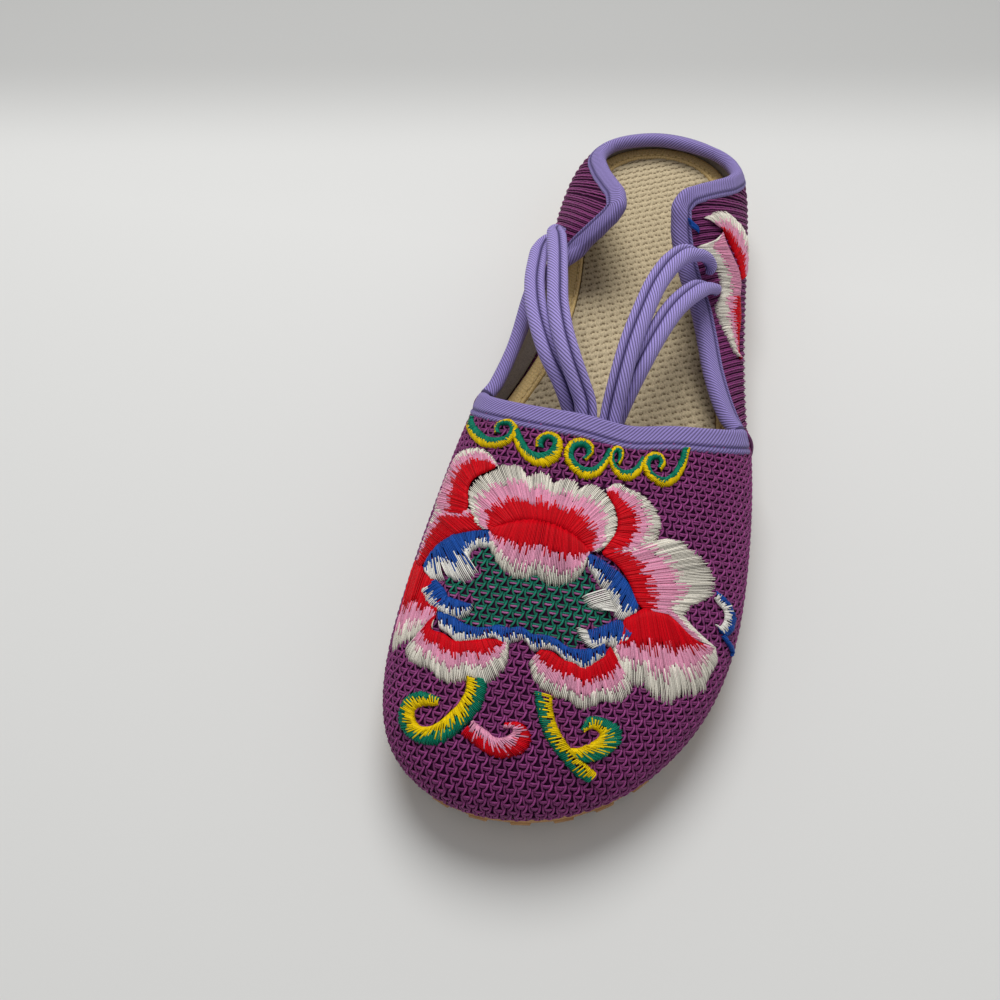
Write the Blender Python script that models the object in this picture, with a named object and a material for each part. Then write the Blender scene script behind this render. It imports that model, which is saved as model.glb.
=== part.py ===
"""Left shoe of a pair of closed-toe cloth flats with a low back and two corded straps.

The upper is a lasted shell: a vamp dome in front, low sides, and two wings at the heel that lean inward.
Frame: +X to the little-toe side, -Y to the toe, +Z up. Tables are in millimetres, and MM makes metres of them.
"""

import bmesh
import bpy
import numpy as np
from mathutils import Matrix

MM = 0.001

# Driving sizes of the shoe
WALL = 2.0  # upper: cloth, stiffener and lining together
GAP = 0.3  # between pieces that meet
TAPE_GAP = 0.4  # between the bindings and the cloth they fold over
TUCK_RISE = 5.5  # height over which the upper curls in to the sole
ARCH_POWER = 2.2  # roundness of the vamp across the foot
RIDGE_SKEW = 0.10  # how far the vamp's ridge lies to the big-toe side, as a share of the half width
TOE_BOX = 15.5  # height that the vamp gains right behind the toe
INSTEP_RISE = 12.5  # height that it gains from there to the throat
TOE_FULLNESS = 5.0  # how quickly the toe box reaches its height
THROAT_CENTRE = -22.0  # place of the throat on the ridge
THROAT_DIP = 14.0  # the throat's corners lie this far behind its centre
CORNER_ANGLE = 20.0  # where the throat meets the sides, in degrees up the vamp's arch
WING_BEND = 1.7  # how late a wing's lean comes as it rises

THROAT_TAPE_WIDTH = 6.0  # tape that shows on each face of the throat
COLLAR_TAPE_WIDTH = 5.0  # and of the edge behind it
BINDING_TAPE = 1.0  # thickness of the folded tape
INSOLE_THICK = 4.0
INSOLE_CLEAR = 0.6  # from the upper's curled edge to the insole
EDGE_TAPE_WIDTH = 4.5  # tape round the insole
EDGE_TAPE_PROUD = 0.4
SOLE_LEDGE = 1.0  # the sole's top stands this far outside the upper's curled edge
SOLE_LIP = 1.6  # its side swells to this
LUG_DEPTH = 2.6
LUG_TAPER = 0.9
RIB_PROUD = 0.7
LUG_PITCH = 11.0
STRAP_RADIUS = 2.9
STRAP_PINCH = 0.72  # share of it left where a cord is sewn into a wing

# Widest line of the upper, seen from above, from the heel round by the little-toe side
OUTLINE = (  # place, x, y, tuck in to the sole's edge
    ("heel back", 4.0, 121.5, 2.5),
    ("heel back outside", 24.0, 115.0, 2.5),
    ("heel curve outside", 33.0, 101.5, 2.5),
    ("heel outside", 36.0, 84.0, 2.5),
    ("waist outside", 38.0, 50.0, 2.5),
    ("middle outside", 41.5, 8.0, 2.5),
    ("side outside", 44.3, -14.0, 2.5),
    ("ball outside", 45.8, -46.0, 2.5),
    ("small toe", 40.8, -83.0, 2.5),
    ("toe side outside", 29.5, -103.5, 2.5),
    ("toe outside", 14.5, -116.7, 2.5),
    ("toe tip", -6.3, -123.4, 2.5),
    ("toe inside", -24.0, -121.5, 2.5),
    ("toe corner inside", -36.8, -112.5, 2.5),
    ("big toe joint", -43.0, -97.6, 2.5),
    ("ball inside", -44.4, -72.0, 2.5),
    ("ball back inside", -42.0, -39.0, 2.5),
    ("throat inside", -38.0, -10.0, 3.2),
    ("waist inside", -31.5, 18.0, 6.5),
    ("arch inside", -27.0, 52.0, 6.0),
    ("heel inside", -26.0, 86.0, 3.0),
    ("heel back inside", -16.5, 112.5, 2.5),
)

# Heights along the foot
PROFILE = (  # along, sole's upper edge, underside of the sole between its lugs
    (-124.0, 13.0, 6.4),
    (-108.0, 11.4, 4.2),
    (-88.0, 10.4, 2.6),
    (-50.0, 10.2, 2.6),
    (-12.0, 11.2, 2.6),
    (12.0, 12.2, 4.2),
    (32.0, 13.0, 4.6),
    (52.0, 13.6, 2.6),
    (90.0, 14.2, 2.6),
    (122.0, 14.4, 2.6),
)

# Top edge behind the throat: foot is where the wall below each point stands on the widest line
TOPLINE = (  # side, foot, x, y, z
    ("outside", 1.0, 35.0, 0.0, 26.5),
    ("outside", 14.0, 29.5, 14.0, 26.5),
    ("outside", 29.0, 25.2, 29.5, 27.6),
    ("outside", 37.0, 22.6, 36.5, 29.6),
    ("outside", 44.0, 18.2, 44.5, 33.2),
    ("outside", 49.0, 15.0, 50.5, 37.6),
    ("outside", 53.5, 13.2, 55.5, 42.0),
    ("outside", 58.0, 12.6, 60.0, 45.8),
    ("outside", 63.0, 14.3, 64.8, 46.8),
    ("outside", 69.0, 18.0, 70.5, 44.4),
    ("outside", 77.0, 23.0, 78.0, 40.2),
    ("outside", 86.0, 28.4, 86.5, 35.4),
    ("outside", 94.5, 31.0, 95.0, 31.0),
    ("outside", 103.0, 29.4, 102.5, 28.0),
    ("outside", 113.0, 22.5, 110.0, 26.4),
    ("heel", 121.5, 3.6, 115.0, 25.4),
    ("inside", 112.0, -14.0, 107.5, 26.4),
    ("inside", 100.0, -16.3, 98.5, 29.3),
    ("inside", 88.0, -13.4, 86.5, 34.0),
    ("inside", 77.0, -9.4, 75.0, 39.6),
    ("inside", 68.0, -6.2, 65.5, 44.0),
    ("inside", 62.0, -5.4, 59.5, 45.2),
    ("inside", 57.0, -7.2, 55.6, 42.8),
    ("inside", 53.0, -11.2, 53.0, 38.0),
    ("inside", 49.0, -16.6, 50.3, 32.6),
    ("inside", 43.5, -25.0, 44.0, 28.9),
    ("inside", 35.0, -30.0, 34.5, 27.4),
    ("inside", 15.0, -31.0, 15.0, 26.6),
    ("inside", 1.0, -33.2, 0.0, 26.5),
)

# Slits in the wings that the cords pass through: places along the foot and up the wall
SLITS = (  # side, from, to, lower, upper
    ("outside", 40.4, 51.2, 0.50, 0.77),
    ("inside", 57.6, 63.4, 0.12, 0.50),
)

# Routes of the cords, two to each side: from inside the vamp, out over the throat and in at a slit
CORDS = {
    "strap_outside_upper": (  # x, y, z
        (3.0, -34.0, 35.6), (3.0, -26.0, 36.3), (3.0, -20.0, 38.0), (3.1, -15.0, 40.8), (3.7, -9.8, 44.6),
        (5.0, 0.5, 48.8), (7.2, 12.6, 50.2), (10.0, 26.0, 49.0), (13.6, 36.6, 46.6), (17.8, 44.0, 43.4),
        (22.2, 47.2, 40.2), (25.6, 48.4, 36.4), (27.0, 48.8, 33.4), (26.2, 49.0, 30.8), (24.6, 49.6, 27.6),
    ),
    "strap_outside_lower": (  # x, y, z
        (5.8, -34.0, 30.0), (5.8, -26.0, 30.6), (6.0, -20.0, 32.2), (6.9, -14.6, 35.4), (8.8, -8.6, 40.2),
        (10.9, -1.0, 44.8), (13.6, 9.5, 46.2), (16.9, 20.5, 44.4), (20.6, 29.6, 41.2), (24.0, 36.2, 37.4),
        (27.4, 40.7, 33.2), (29.1, 43.0, 30.2), (28.3, 43.7, 27.3), (26.4, 44.3, 24.2),
    ),
    "strap_inside_upper": (  # x, y, z
        (-3.2, -34.0, 35.6), (-3.2, -26.0, 36.3), (-3.3, -20.0, 38.2), (-4.3, -15.2, 41.6), (-6.9, -11.0, 45.2),
        (-9.8, -6.4, 48.2), (-13.2, 0.8, 49.8), (-16.2, 10.5, 49.0), (-19.0, 26.0, 45.0), (-21.6, 41.6, 40.0),
        (-23.6, 51.5, 36.0), (-24.9, 57.0, 33.0), (-24.2, 59.8, 31.0), (-21.8, 60.4, 29.2), (-18.0, 60.5, 26.4),
    ),
    "strap_inside_lower": (  # x, y, z
        (-5.4, -34.0, 30.0), (-5.4, -26.0, 30.6), (-5.8, -20.0, 32.4), (-7.6, -14.5, 35.8), (-11.1, -9.0, 40.4),
        (-16.4, -2.2, 44.5), (-21.7, 9.5, 44.8), (-26.1, 25.2, 40.8), (-29.0, 41.0, 34.6), (-30.6, 51.6, 29.4),
        (-30.0, 57.2, 26.8), (-28.0, 60.0, 25.8), (-24.8, 60.5, 24.6), (-20.4, 60.6, 22.6),
    ),
}


def monotone_slopes(xs, ys):
    """Slopes at the knots of a curve that never overshoots its table."""
    step = np.diff(xs)
    rise = np.diff(ys) / step
    slopes = np.zeros(len(xs))
    same = rise[:-1] * rise[1:] > 0
    before = 2 * step[1:] + step[:-1]
    after = step[1:] + 2 * step[:-1]
    safe = np.where(same[:, None], np.stack([rise[:-1], rise[1:]], 1), 1.0)
    mean = (before + after) / (before / safe[:, 0] + after / safe[:, 1])
    slopes[1:-1] = np.where(same, mean, 0.0)
    slopes[0], slopes[-1] = rise[0], rise[-1]
    return slopes


def smooth(x, xs, ys):
    """Value of a short table at x, along a curve through its rows."""
    xs, ys = np.asarray(xs, float), np.asarray(ys, float)
    slopes = monotone_slopes(xs, ys)
    x = np.clip(x, xs[0], xs[-1])
    i = np.clip(np.searchsorted(xs, x, side="right") - 1, 0, len(xs) - 2)
    step = xs[i + 1] - xs[i]
    u = (x - xs[i]) / step
    return (
        ys[i] * (1 + 2 * u) * (1 - u) ** 2
        + slopes[i] * step * u * (1 - u) ** 2
        + ys[i + 1] * u * u * (3 - 2 * u)
        + slopes[i + 1] * step * u * u * (u - 1)
    )


def closed_spline(knots, values, at):
    """Smooth closed curve through values at the knots 0..period, read at the places in at."""
    step = np.diff(knots)
    n = len(step)
    values = np.asarray(values, float)
    rise = (np.roll(values, -1, 0) - values) / step[:, None]
    matrix = np.zeros((n, n))
    for i in range(n):
        matrix[i, i - 1] += step[i]
        matrix[i, i] += 2 * (step[i - 1] + step[i])
        matrix[i, (i + 1) % n] += step[i - 1]
    pull = 3 * (step[:, None] * np.roll(rise, 1, 0) + np.roll(step, 1)[:, None] * rise)
    slopes = np.linalg.solve(matrix, pull)
    i = np.clip(np.searchsorted(knots, at, side="right") - 1, 0, n - 1)
    j = (i + 1) % n
    h = step[i][:, None]
    u = ((at - knots[i]) / step[i])[:, None]
    return (
        values[i] * (1 + 2 * u) * (1 - u) ** 2
        + slopes[i] * h * u * (1 - u) ** 2
        + values[j] * u * u * (3 - 2 * u)
        + slopes[j] * h * u * u * (u - 1)
    )


class Last:
    """The form that the shoe is built on. t runs round the widest line, from 0 at the heel by the little toe to 1."""

    SAMPLES = 2880

    def __init__(self):
        rows = np.array([row[1:] for row in OUTLINE], float)
        chords = np.linalg.norm(np.roll(rows, -1, 0) - rows, axis=1)
        knots = np.concatenate([[0.0], np.cumsum(chords)])
        fine = closed_spline(knots, rows, np.linspace(0, knots[-1], self.SAMPLES))
        legs = np.linalg.norm(np.diff(fine[:, :2], axis=0), axis=1)
        self.round = np.concatenate([[0.0], np.cumsum(legs)])
        self.length = self.round[-1]
        self.round /= self.length
        self.x, self.y, self.tucks = fine.T
        self.tip = int(np.argmin(self.y))
        self.back = int(np.argmax(self.y[: self.tip]))
        self.last = self.tip + int(np.argmax(self.y[self.tip :]))
        corner = THROAT_CENTRE + THROAT_DIP
        self.corners = [self.at_side("outside", corner), self.at_side("inside", corner)]
        self.set_edge()

    def at_side(self, side, along):
        """t of the place on one side of the foot, or at the heel, that lies at along."""
        if side == "heel":
            return 0.0
        if side == "outside":
            part = slice(self.back, self.tip)
            return float(np.interp(-along, -self.y[part], self.round[part]))
        part = slice(self.tip, self.last + 1)
        return float(np.interp(along, self.y[part], self.round[part]))

    def set_edge(self):
        """Top edge from the inside corner of the throat over the heel to the outside corner."""
        corner = self.throat(np.array([0.0, 1.0]))
        rows = [(self.corners[1], *corner[1]), (self.corners[0] + 1.0, *corner[0])]
        for side, foot, x, y, z in TOPLINE:
            t = self.at_side(side, foot)
            rows.append((t + 1.0 if t < 0.5 else t, x, y, z))
        self.edge = np.array(sorted(rows))

    def outline(self, t):
        """Place on the widest line and the direction inward from it."""
        t = np.asarray(t, float) % 1.0
        x, y = np.interp(t, self.round, self.x), np.interp(t, self.round, self.y)
        reach = 2.5e-3
        ahead, behind = (t + reach) % 1.0, (t - reach) % 1.0
        dx = np.interp(ahead, self.round, self.x) - np.interp(behind, self.round, self.x)
        dy = np.interp(ahead, self.round, self.y) - np.interp(behind, self.round, self.y)
        size = np.hypot(dx, dy)
        return np.stack([x, y], -1), np.stack([dy / size, -dx / size], -1)

    def tuck(self, t):
        return np.interp(np.asarray(t, float) % 1.0, self.round, self.tucks)

    def feather(self, y):
        """Height of the sole's upper edge."""
        return smooth(y, [row[0] for row in PROFILE], [row[1] for row in PROFILE])

    def underside(self, y):
        """Height of the sole's underside between its lugs."""
        return smooth(y, [row[0] for row in PROFILE], [row[2] for row in PROFILE])

    def base(self, y):
        """Height of the widest line."""
        return self.feather(y) + TUCK_RISE

    def widths(self, y):
        """x of the widest line on the outside and on the inside of the foot."""
        part = slice(self.back, self.tip + 1)
        outside = np.interp(-y, -self.y[part], self.x[part])
        part = slice(self.tip, self.last + 1)
        return outside, np.interp(y, self.y[part], self.x[part])

    def crown(self, y):
        """Height of the vamp's ridge over the widest line."""
        tip = self.y[self.tip]
        g = np.maximum((y - tip) / (THROAT_CENTRE - tip), 0.0)
        full = 1 - (1 - np.minimum(g, 1.0)) ** TOE_FULLNESS
        return TOE_BOX * full ** (1 / ARCH_POWER) + INSTEP_RISE * g

    def dome(self, x, y):
        """Height of the vamp over a place in plan."""
        outside, inside = self.widths(y)
        half = np.maximum((outside - inside) / 2, 1e-6)
        across = np.clip((x - (outside + inside) / 2) / half, -1, 1)
        across = across + RIDGE_SKEW * (1 - across**2)
        arch = np.maximum(1 - np.abs(across) ** ARCH_POWER, 0.0) ** (1 / ARCH_POWER)
        return self.base(y) + self.crown(y) * arch

    def throat(self, s):
        """Point of the throat's edge, from s 0 at the outside corner to 1 at the inside one."""
        swing = np.radians(CORNER_ANGLE + s * (180 - 2 * CORNER_ANGLE))
        turn = (swing - np.pi / 2) / (np.pi / 2 - np.radians(CORNER_ANGLE))
        y = THROAT_CENTRE + THROAT_DIP * turn**2
        skewed = np.sign(np.cos(swing)) * np.abs(np.cos(swing)) ** (2 / ARCH_POWER)
        root = np.sqrt(1 - 4 * RIDGE_SKEW * (skewed - RIDGE_SKEW))
        across = (1 - root) / (2 * RIDGE_SKEW)
        outside, inside = self.widths(y)
        x = (outside + inside) / 2 + across * (outside - inside) / 2
        return np.stack([x, y, self.dome(x, y)], -1)

    def throat_t(self, s):
        return self.corners[0] + s * (self.corners[1] - self.corners[0])

    def surface(self, t, v):
        """Outer face of the upper: v is -1 at the sole's edge, 0 on the widest line and 1 at the top edge."""
        t, v = np.broadcast_arrays(np.asarray(t, float) % 1.0, np.asarray(v, float))
        place, inward = self.outline(t)
        up = np.clip(v, 0, None)
        front = (t >= self.corners[0]) & (t <= self.corners[1])
        point = np.where(front[..., None], self.vamp(t, up, place), self.quarter(t, up, place))
        return point + self.curl(t, np.clip(-v, 0, 1), inward)

    def curl(self, t, down, inward):
        """Step from the widest line in to the sole's edge, along a quarter of an ellipse."""
        turn = down * np.pi / 2
        inset = self.tuck(t) * (1 - np.cos(turn))
        return np.stack([inward[..., 0] * inset, inward[..., 1] * inset, -TUCK_RISE * np.sin(turn)], -1)

    def vamp(self, t, up, place):
        """Line from the widest line up the dome to the throat."""
        s = np.clip((t - self.corners[0]) / (self.corners[1] - self.corners[0]), 0, 1)
        end = self.throat(s)
        share = up**ARCH_POWER
        x = place[..., 0] + (end[..., 0] - place[..., 0]) * share
        y = place[..., 1] + (end[..., 1] - place[..., 1]) * share
        return np.stack([x, y, self.dome(x, y)], -1)

    def quarter(self, t, up, place):
        """Line from the widest line up the side wall to the top edge, which it leans to as it rises."""
        on = np.where(t < self.corners[1], t + 1.0, t)
        x, y, z = (smooth(on, self.edge[:, 0], self.edge[:, k]) for k in (1, 2, 3))
        base = self.base(place[..., 1])
        share = np.abs(up) ** WING_BEND
        x = place[..., 0] + (x - place[..., 0]) * share
        y = place[..., 1] + (y - place[..., 1]) * share
        return np.stack([x, y, base + (z - base) * up], -1)

    def frame(self, t, v):
        """Point of the outer face, its two tangents and its outward normal."""
        dt, dv = 4e-4, 4e-3
        point = self.surface(t, v)
        along = (self.surface(t + dt, v) - self.surface(t - dt, v)) / (2 * dt)
        rise = (point - self.surface(t, v - dv)) / dv
        return point, along, rise, unit(np.cross(rise, along))

    def band(self, t, width, steps):
        """Points and normals of a strip that runs in from the top edge, square to it, at steps + 1 distances."""
        t = np.array(t, float)
        v = np.ones_like(t)
        point, along, rise, normal = self.frame(t, v)
        square = np.cross(normal, unit(along))
        square *= -np.sign(np.sum(square * rise, -1, keepdims=True))
        points, normals, inward = [point], [normal], square
        parts = 4
        for _ in range(steps):
            for _ in range(parts):
                square = unit(square - normal * np.sum(square * normal, -1, keepdims=True))
                step = square * width / (steps * parts)
                aa, rr = np.sum(along * along, -1), np.sum(rise * rise, -1)
                ar = np.sum(along * rise, -1)
                sa, sr = np.sum(step * along, -1), np.sum(step * rise, -1)
                det = aa * rr - ar * ar
                t = t + (sa * rr - sr * ar) / det
                v = v + (sr * aa - sa * ar) / det
                point, along, rise, normal = self.frame(t, v)
            points.append(point)
            normals.append(normal)
        return np.stack(points, 1), np.stack(normals, 1), inward

    def inset(self, t, distance):
        """Place in plan that lies inside the sole's upper edge by a distance."""
        place, inward = self.outline(t)
        return place + inward * (self.tuck(t) + distance)[..., None]


def unit(vectors):
    return vectors / np.linalg.norm(vectors, axis=-1, keepdims=True)


LAST = Last()


def remove_everything():
    for obj in list(bpy.data.objects):
        bpy.data.objects.remove(obj)


def finish(name, color, roughness):
    """Principled material of one piece."""
    material = bpy.data.materials.new(name)
    material.use_nodes = True
    shader = material.node_tree.nodes["Principled BSDF"]
    shader.inputs["Base Color"].default_value = (*color, 1.0)
    shader.inputs["Roughness"].default_value = roughness
    shader.inputs["Metallic"].default_value = 0.0
    return material


def place_piece(name, mesh, material):
    """Object of one mesh, smooth on its round faces and with all of them turned outward."""
    shape = bmesh.new()
    shape.from_mesh(mesh)
    bmesh.ops.recalc_face_normals(shape, faces=shape.faces[:])
    shape.to_mesh(mesh)
    shape.free()
    mesh.materials.append(material)
    mesh.shade_smooth()
    mesh.set_sharp_from_angle(angle=np.radians(40))
    obj = bpy.data.objects.new(name, mesh)
    bpy.context.scene.collection.objects.link(obj)
    return obj


def piece(name, points, faces, material):
    """Object from points in millimetres and the faces between them."""
    mesh = bpy.data.meshes.new(name)
    mesh.from_pydata((np.asarray(points) * MM).tolist(), [], faces)
    return place_piece(name, mesh, material)


def sweep(name, sections, material):
    """Object whose closed sections follow one another, with a flat face on each end."""
    count, size = sections.shape[:2]
    faces = [tuple(range(size)), tuple(range(count * size - 1, (count - 1) * size - 1, -1))]
    for i in range(count - 1):
        for j in range(size):
            k = (j + 1) % size
            faces.append((i * size + j, i * size + k, (i + 1) * size + k, (i + 1) * size + j))
    return piece(name, sections.reshape(-1, 3), faces, material)


def upper_columns():
    """Values of t for the upper's columns, with one on each corner of the throat and each end of a slit."""
    inside = [LAST.at_side("inside", y) for y in (40.0, SLITS[1][1], SLITS[1][2], 72.0, 104.0)]
    outside = [LAST.at_side("outside", y) + 1.0 for y in (104.0, 72.0, SLITS[0][2], SLITS[0][1])]
    stops = [LAST.corners[0], LAST.corners[1], *inside, *outside, LAST.corners[0] + 1.0]
    counts = (38, 8, 8, 2, 3, 7, 13, 8, 7, 4, 9)
    parts = [np.linspace(a, b, n + 1)[:-1] for a, b, n in zip(stops[:-1], stops[1:], counts)]
    return np.concatenate(parts)


def build_upper(material):
    """One shell: an outer face, an inner one a wall's thickness inside it, and the rims between them."""
    columns = upper_columns()
    rows = np.array([-0.9, -0.42, 0.0, 0.12, 0.22, 0.34, 0.50, 0.60, 0.77, 0.88, 1.0])
    n, m = len(columns), len(rows)
    t, v = columns[:, None] + 0 * rows, rows + 0 * columns[:, None]
    point, _, _, normal = LAST.frame(t, v)
    points = np.concatenate([point.reshape(-1, 3), (point - WALL * normal).reshape(-1, 3)])
    cut = slit_cells(columns, rows)
    faces = []
    for i in range(n):
        k = (i + 1) % n
        for j in range(m - 1):
            if (i, j) in cut:
                continue
            a, b, c, d = i * m + j, i * m + j + 1, k * m + j + 1, k * m + j
            faces.append((a, b, c, d))
            faces.append((d + n * m, c + n * m, b + n * m, a + n * m))
    return piece("upper", points, faces + rims(faces, n * m), material)


def slit_cells(columns, rows):
    """Cells of the upper that a slit takes out."""
    middles = (rows[:-1] + rows[1:]) / 2
    centres = (columns + np.append(columns[1:], columns[0] + 1.0)) / 2
    cells = set()
    for side, start, stop, lower, upper in SLITS:
        first, second = sorted((LAST.at_side(side, start), LAST.at_side(side, stop)))
        inside = [i for i, t in enumerate(centres) if first < t % 1.0 < second]
        cells.update((i, j) for i in inside for j, v in enumerate(middles) if lower < v < upper)
    return cells


def rims(faces, shift):
    """Faces between the two sides of a sheet along every edge that only one face has."""
    open_edges = {}
    for face in faces:
        if face[0] >= shift:
            continue
        for a, b in zip(face, face[1:] + face[:1]):
            key = (min(a, b), max(a, b))
            open_edges[key] = None if key in open_edges else (a, b)
    return [(b, a, a + shift, b + shift) for a, b in (e for e in open_edges.values() if e)]


def build_binding(name, t, width, material):
    """Folded tape over the top edge, with a leg on each face of the upper."""
    point, normal, inward = LAST.band(t, width, 2)
    gap = TAPE_GAP
    out, inn = gap + BINDING_TAPE, WALL + gap + BINDING_TAPE
    n0, n1, n2 = normal[:, 0], normal[:, 1], normal[:, 2]
    q0, q1, q2 = point[:, 0], point[:, 1], point[:, 2]
    section = [
        q2 + n2 * gap,
        q2 + n2 * out,
        q1 + n1 * (out + 0.2),
        q0 + n0 * out,
        q0 - inward * (out - 0.4) + n0 * (gap + 0.2),
        q0 - inward * (out + 0.2) - n0 * WALL / 2,
        q0 - inward * (out - 0.4) - n0 * (WALL + gap + 0.2),
        q0 - n0 * inn,
        q1 - n1 * (inn + 0.2),
        q2 - n2 * inn,
        q2 - n2 * (WALL + gap),
        q1 - n1 * (WALL + gap),
        q0 - inward * gap - n0 * (WALL + gap),
        q0 - inward * gap + n0 * gap,
        q1 + n1 * gap,
    ]
    return sweep(name, np.stack(section, 1), material)


def throat_stations():
    """Every other column of the vamp, and one close to each corner."""
    columns = upper_columns()
    inside = columns[(columns > LAST.corners[0]) & (columns < LAST.corners[1])][1::2]
    return np.concatenate([[LAST.throat_t(0.02)], inside, [LAST.throat_t(0.98)]])


def collar_stations():
    """The upper's own columns behind the throat, so that tape and cloth turn together."""
    columns = upper_columns()
    return columns[columns > LAST.corners[1] + 1e-6]


def rungs(count):
    """Pairs of places on the two sides of the outline, from the heel to the toe, for the lids of flat pieces."""
    return [(i, count - i) for i in range(1, count // 2)]


def lid(ring, count):
    """Faces that close a ring of count points whose first is at the heel and whose middle is at the toe."""
    pairs = rungs(count)
    faces = [(ring[0], ring[pairs[0][0]], ring[pairs[0][1]])]
    for (a, b), (c, d) in zip(pairs[:-1], pairs[1:]):
        faces.append((ring[a], ring[c], ring[d], ring[b]))
    a, b = pairs[-1]
    faces.append((ring[a], ring[count // 2], ring[b]))
    return faces


def loop_t(count):
    """Even places round the outline, the middle one on the toe's tip."""
    tip = LAST.round[LAST.tip]
    half = count // 2
    return np.concatenate([np.linspace(0, tip, half + 1)[:-1], np.linspace(tip, 1, half + 1)[:-1]])


def build_insole(material):
    t = loop_t(60)
    plan = LAST.inset(t, INSOLE_CLEAR + EDGE_TAPE_WIDTH + GAP)
    low = LAST.feather(plan[:, 1])
    points = np.concatenate([np.column_stack([plan, low]), np.column_stack([plan, low + INSOLE_THICK])])
    n = len(t)
    faces = [(i, (i + 1) % n, n + (i + 1) % n, n + i) for i in range(n)]
    faces += lid(list(range(n)), n) + lid(list(range(n, 2 * n)), n)
    return piece("insole", points, faces, material)


def build_edge_tape(material):
    """Ring of tape round the insole, a little proud of it and rounded over."""
    t = loop_t(60)
    near, far = INSOLE_CLEAR, INSOLE_CLEAR + EDGE_TAPE_WIDTH
    top = INSOLE_THICK + EDGE_TAPE_PROUD
    profile = ((near, 0.0), (near, top - 1.0), (near + 1.0, top), (far - 0.6, top), (far, top - 0.5), (far, 0.0))
    rings = []
    for distance, height in profile:
        plan = LAST.inset(t, distance)
        rings.append(np.column_stack([plan, LAST.feather(plan[:, 1]) + height]))
    points = np.concatenate(rings)
    n, m = len(t), len(rings)
    faces = []
    for j in range(m):
        for i in range(n):
            a, b = j * n, ((j + 1) % m) * n
            faces.append((a + i, a + (i + 1) % n, b + (i + 1) % n, b + i))
    return piece("insole_binding", points, faces, material)


def build_outsole(material):
    """Rubber slab under the feather line, stepped at its side, with ribs on the edge and lugs underneath."""
    n = 2 * int(LAST.length / LUG_PITCH)
    n -= n % 4
    t = loop_t(n)
    edge = LAST.inset(t, 0.0)
    top, low = LAST.feather(edge[:, 1]), LAST.underside(edge[:, 1])
    step = low + 0.45 * (top - low)
    shelf = LAST.inset(t, 8.0)
    rings = (
        (LAST.inset(t, -SOLE_LEDGE), top - GAP),
        (LAST.inset(t, -SOLE_LIP), top - 1.4),
        (LAST.inset(t, -SOLE_LIP), step),
        (LAST.inset(t, -SOLE_LEDGE), step - 0.6),
        (LAST.inset(t, -SOLE_LEDGE), low),
        (shelf, LAST.underside(shelf[:, 1])),
    )
    points = np.concatenate([np.column_stack(ring) for ring in rings])
    faces = []
    for j in range(len(rings) - 1):
        for i in range(n):
            k = (i + 1) % n
            faces.append((j * n + i, j * n + k, (j + 1) * n + k, (j + 1) * n + i))
    under = lid(list(range((len(rings) - 1) * n, len(rings) * n)), n)
    faces += lid(list(range(n)), n) + under
    mesh = bpy.data.meshes.new("outsole")
    mesh.from_pydata((points * MM).tolist(), [], faces)
    add_lugs(mesh, n, len(under))
    return place_piece("outsole", mesh, material)


def add_lugs(mesh, n, under):
    """Ribs on every other cell of the side, lugs under the same cells, and bars across the middle."""
    shape = bmesh.new()
    shape.from_mesh(mesh)
    bmesh.ops.recalc_face_normals(shape, faces=shape.faces[:])
    shape.faces.ensure_lookup_table()
    cells = shape.faces[:]
    ribs = [cells[3 * n + i] for i in range(0, n, 2)]
    edge_lugs = [cells[4 * n + i] for i in range(0, n, 2)]
    middle = cells[-under:]
    bars = [middle[i : i + 2] for i in range(2, under - 3, 4)]
    bmesh.ops.inset_individual(shape, faces=ribs, thickness=0.5 * MM, depth=RIB_PROUD * MM)
    for group in [[face] for face in edge_lugs] + bars:
        bmesh.ops.inset_region(shape, faces=group, thickness=LUG_TAPER * MM, depth=0.0, use_even_offset=True)
        for vertex in {v for face in group for v in face.verts}:
            vertex.co.z -= LUG_DEPTH * MM
    shape.to_mesh(mesh)
    shape.free()


def cord_line(route, spacing):
    """Smooth line through a route's points, at about even spacing."""
    points = np.array(route)
    knots = np.concatenate([[0.0], np.cumsum(np.linalg.norm(np.diff(points, axis=0), axis=1))])
    slopes = np.gradient(points, knots, axis=0)
    at = np.linspace(0, knots[-1], int(knots[-1] / spacing) + 1)
    i = np.clip(np.searchsorted(knots, at, side="right") - 1, 0, len(knots) - 2)
    h = (knots[i + 1] - knots[i])[:, None]
    u = (at[:, None] - knots[i][:, None]) / h
    line = points[i] * (1 + 2 * u) * (1 - u) ** 2 + slopes[i] * h * u * (1 - u) ** 2
    return line + points[i + 1] * u * u * (3 - 2 * u) + slopes[i + 1] * h * u * u * (u - 1)


def build_cord(name, route, material):
    """Round cord along a route, its section carried along without twisting and pinched at the wing."""
    line = cord_line(route, 4.0)
    ahead = unit(np.gradient(line, axis=0))
    left = np.linspace(len(line) - 1, 0, len(line)) * 4.0
    radius = STRAP_RADIUS * (STRAP_PINCH + (1 - STRAP_PINCH) * smooth(left, [0.0, 8.0, 20.0], [0.0, 0.0, 1.0]))
    side = unit(np.cross(ahead[0], [0.0, 0.0, 1.0]))
    turn = np.arange(8) * np.pi / 4
    sections = []
    for centre, way, size in zip(line, ahead, radius):
        side = unit(side - way * np.dot(side, way))
        over = np.cross(way, side)
        ring = np.cos(turn)[:, None] * side + np.sin(turn)[:, None] * over
        sections.append(centre + size * ring)
    return sweep(name, np.array(sections), material)


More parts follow.
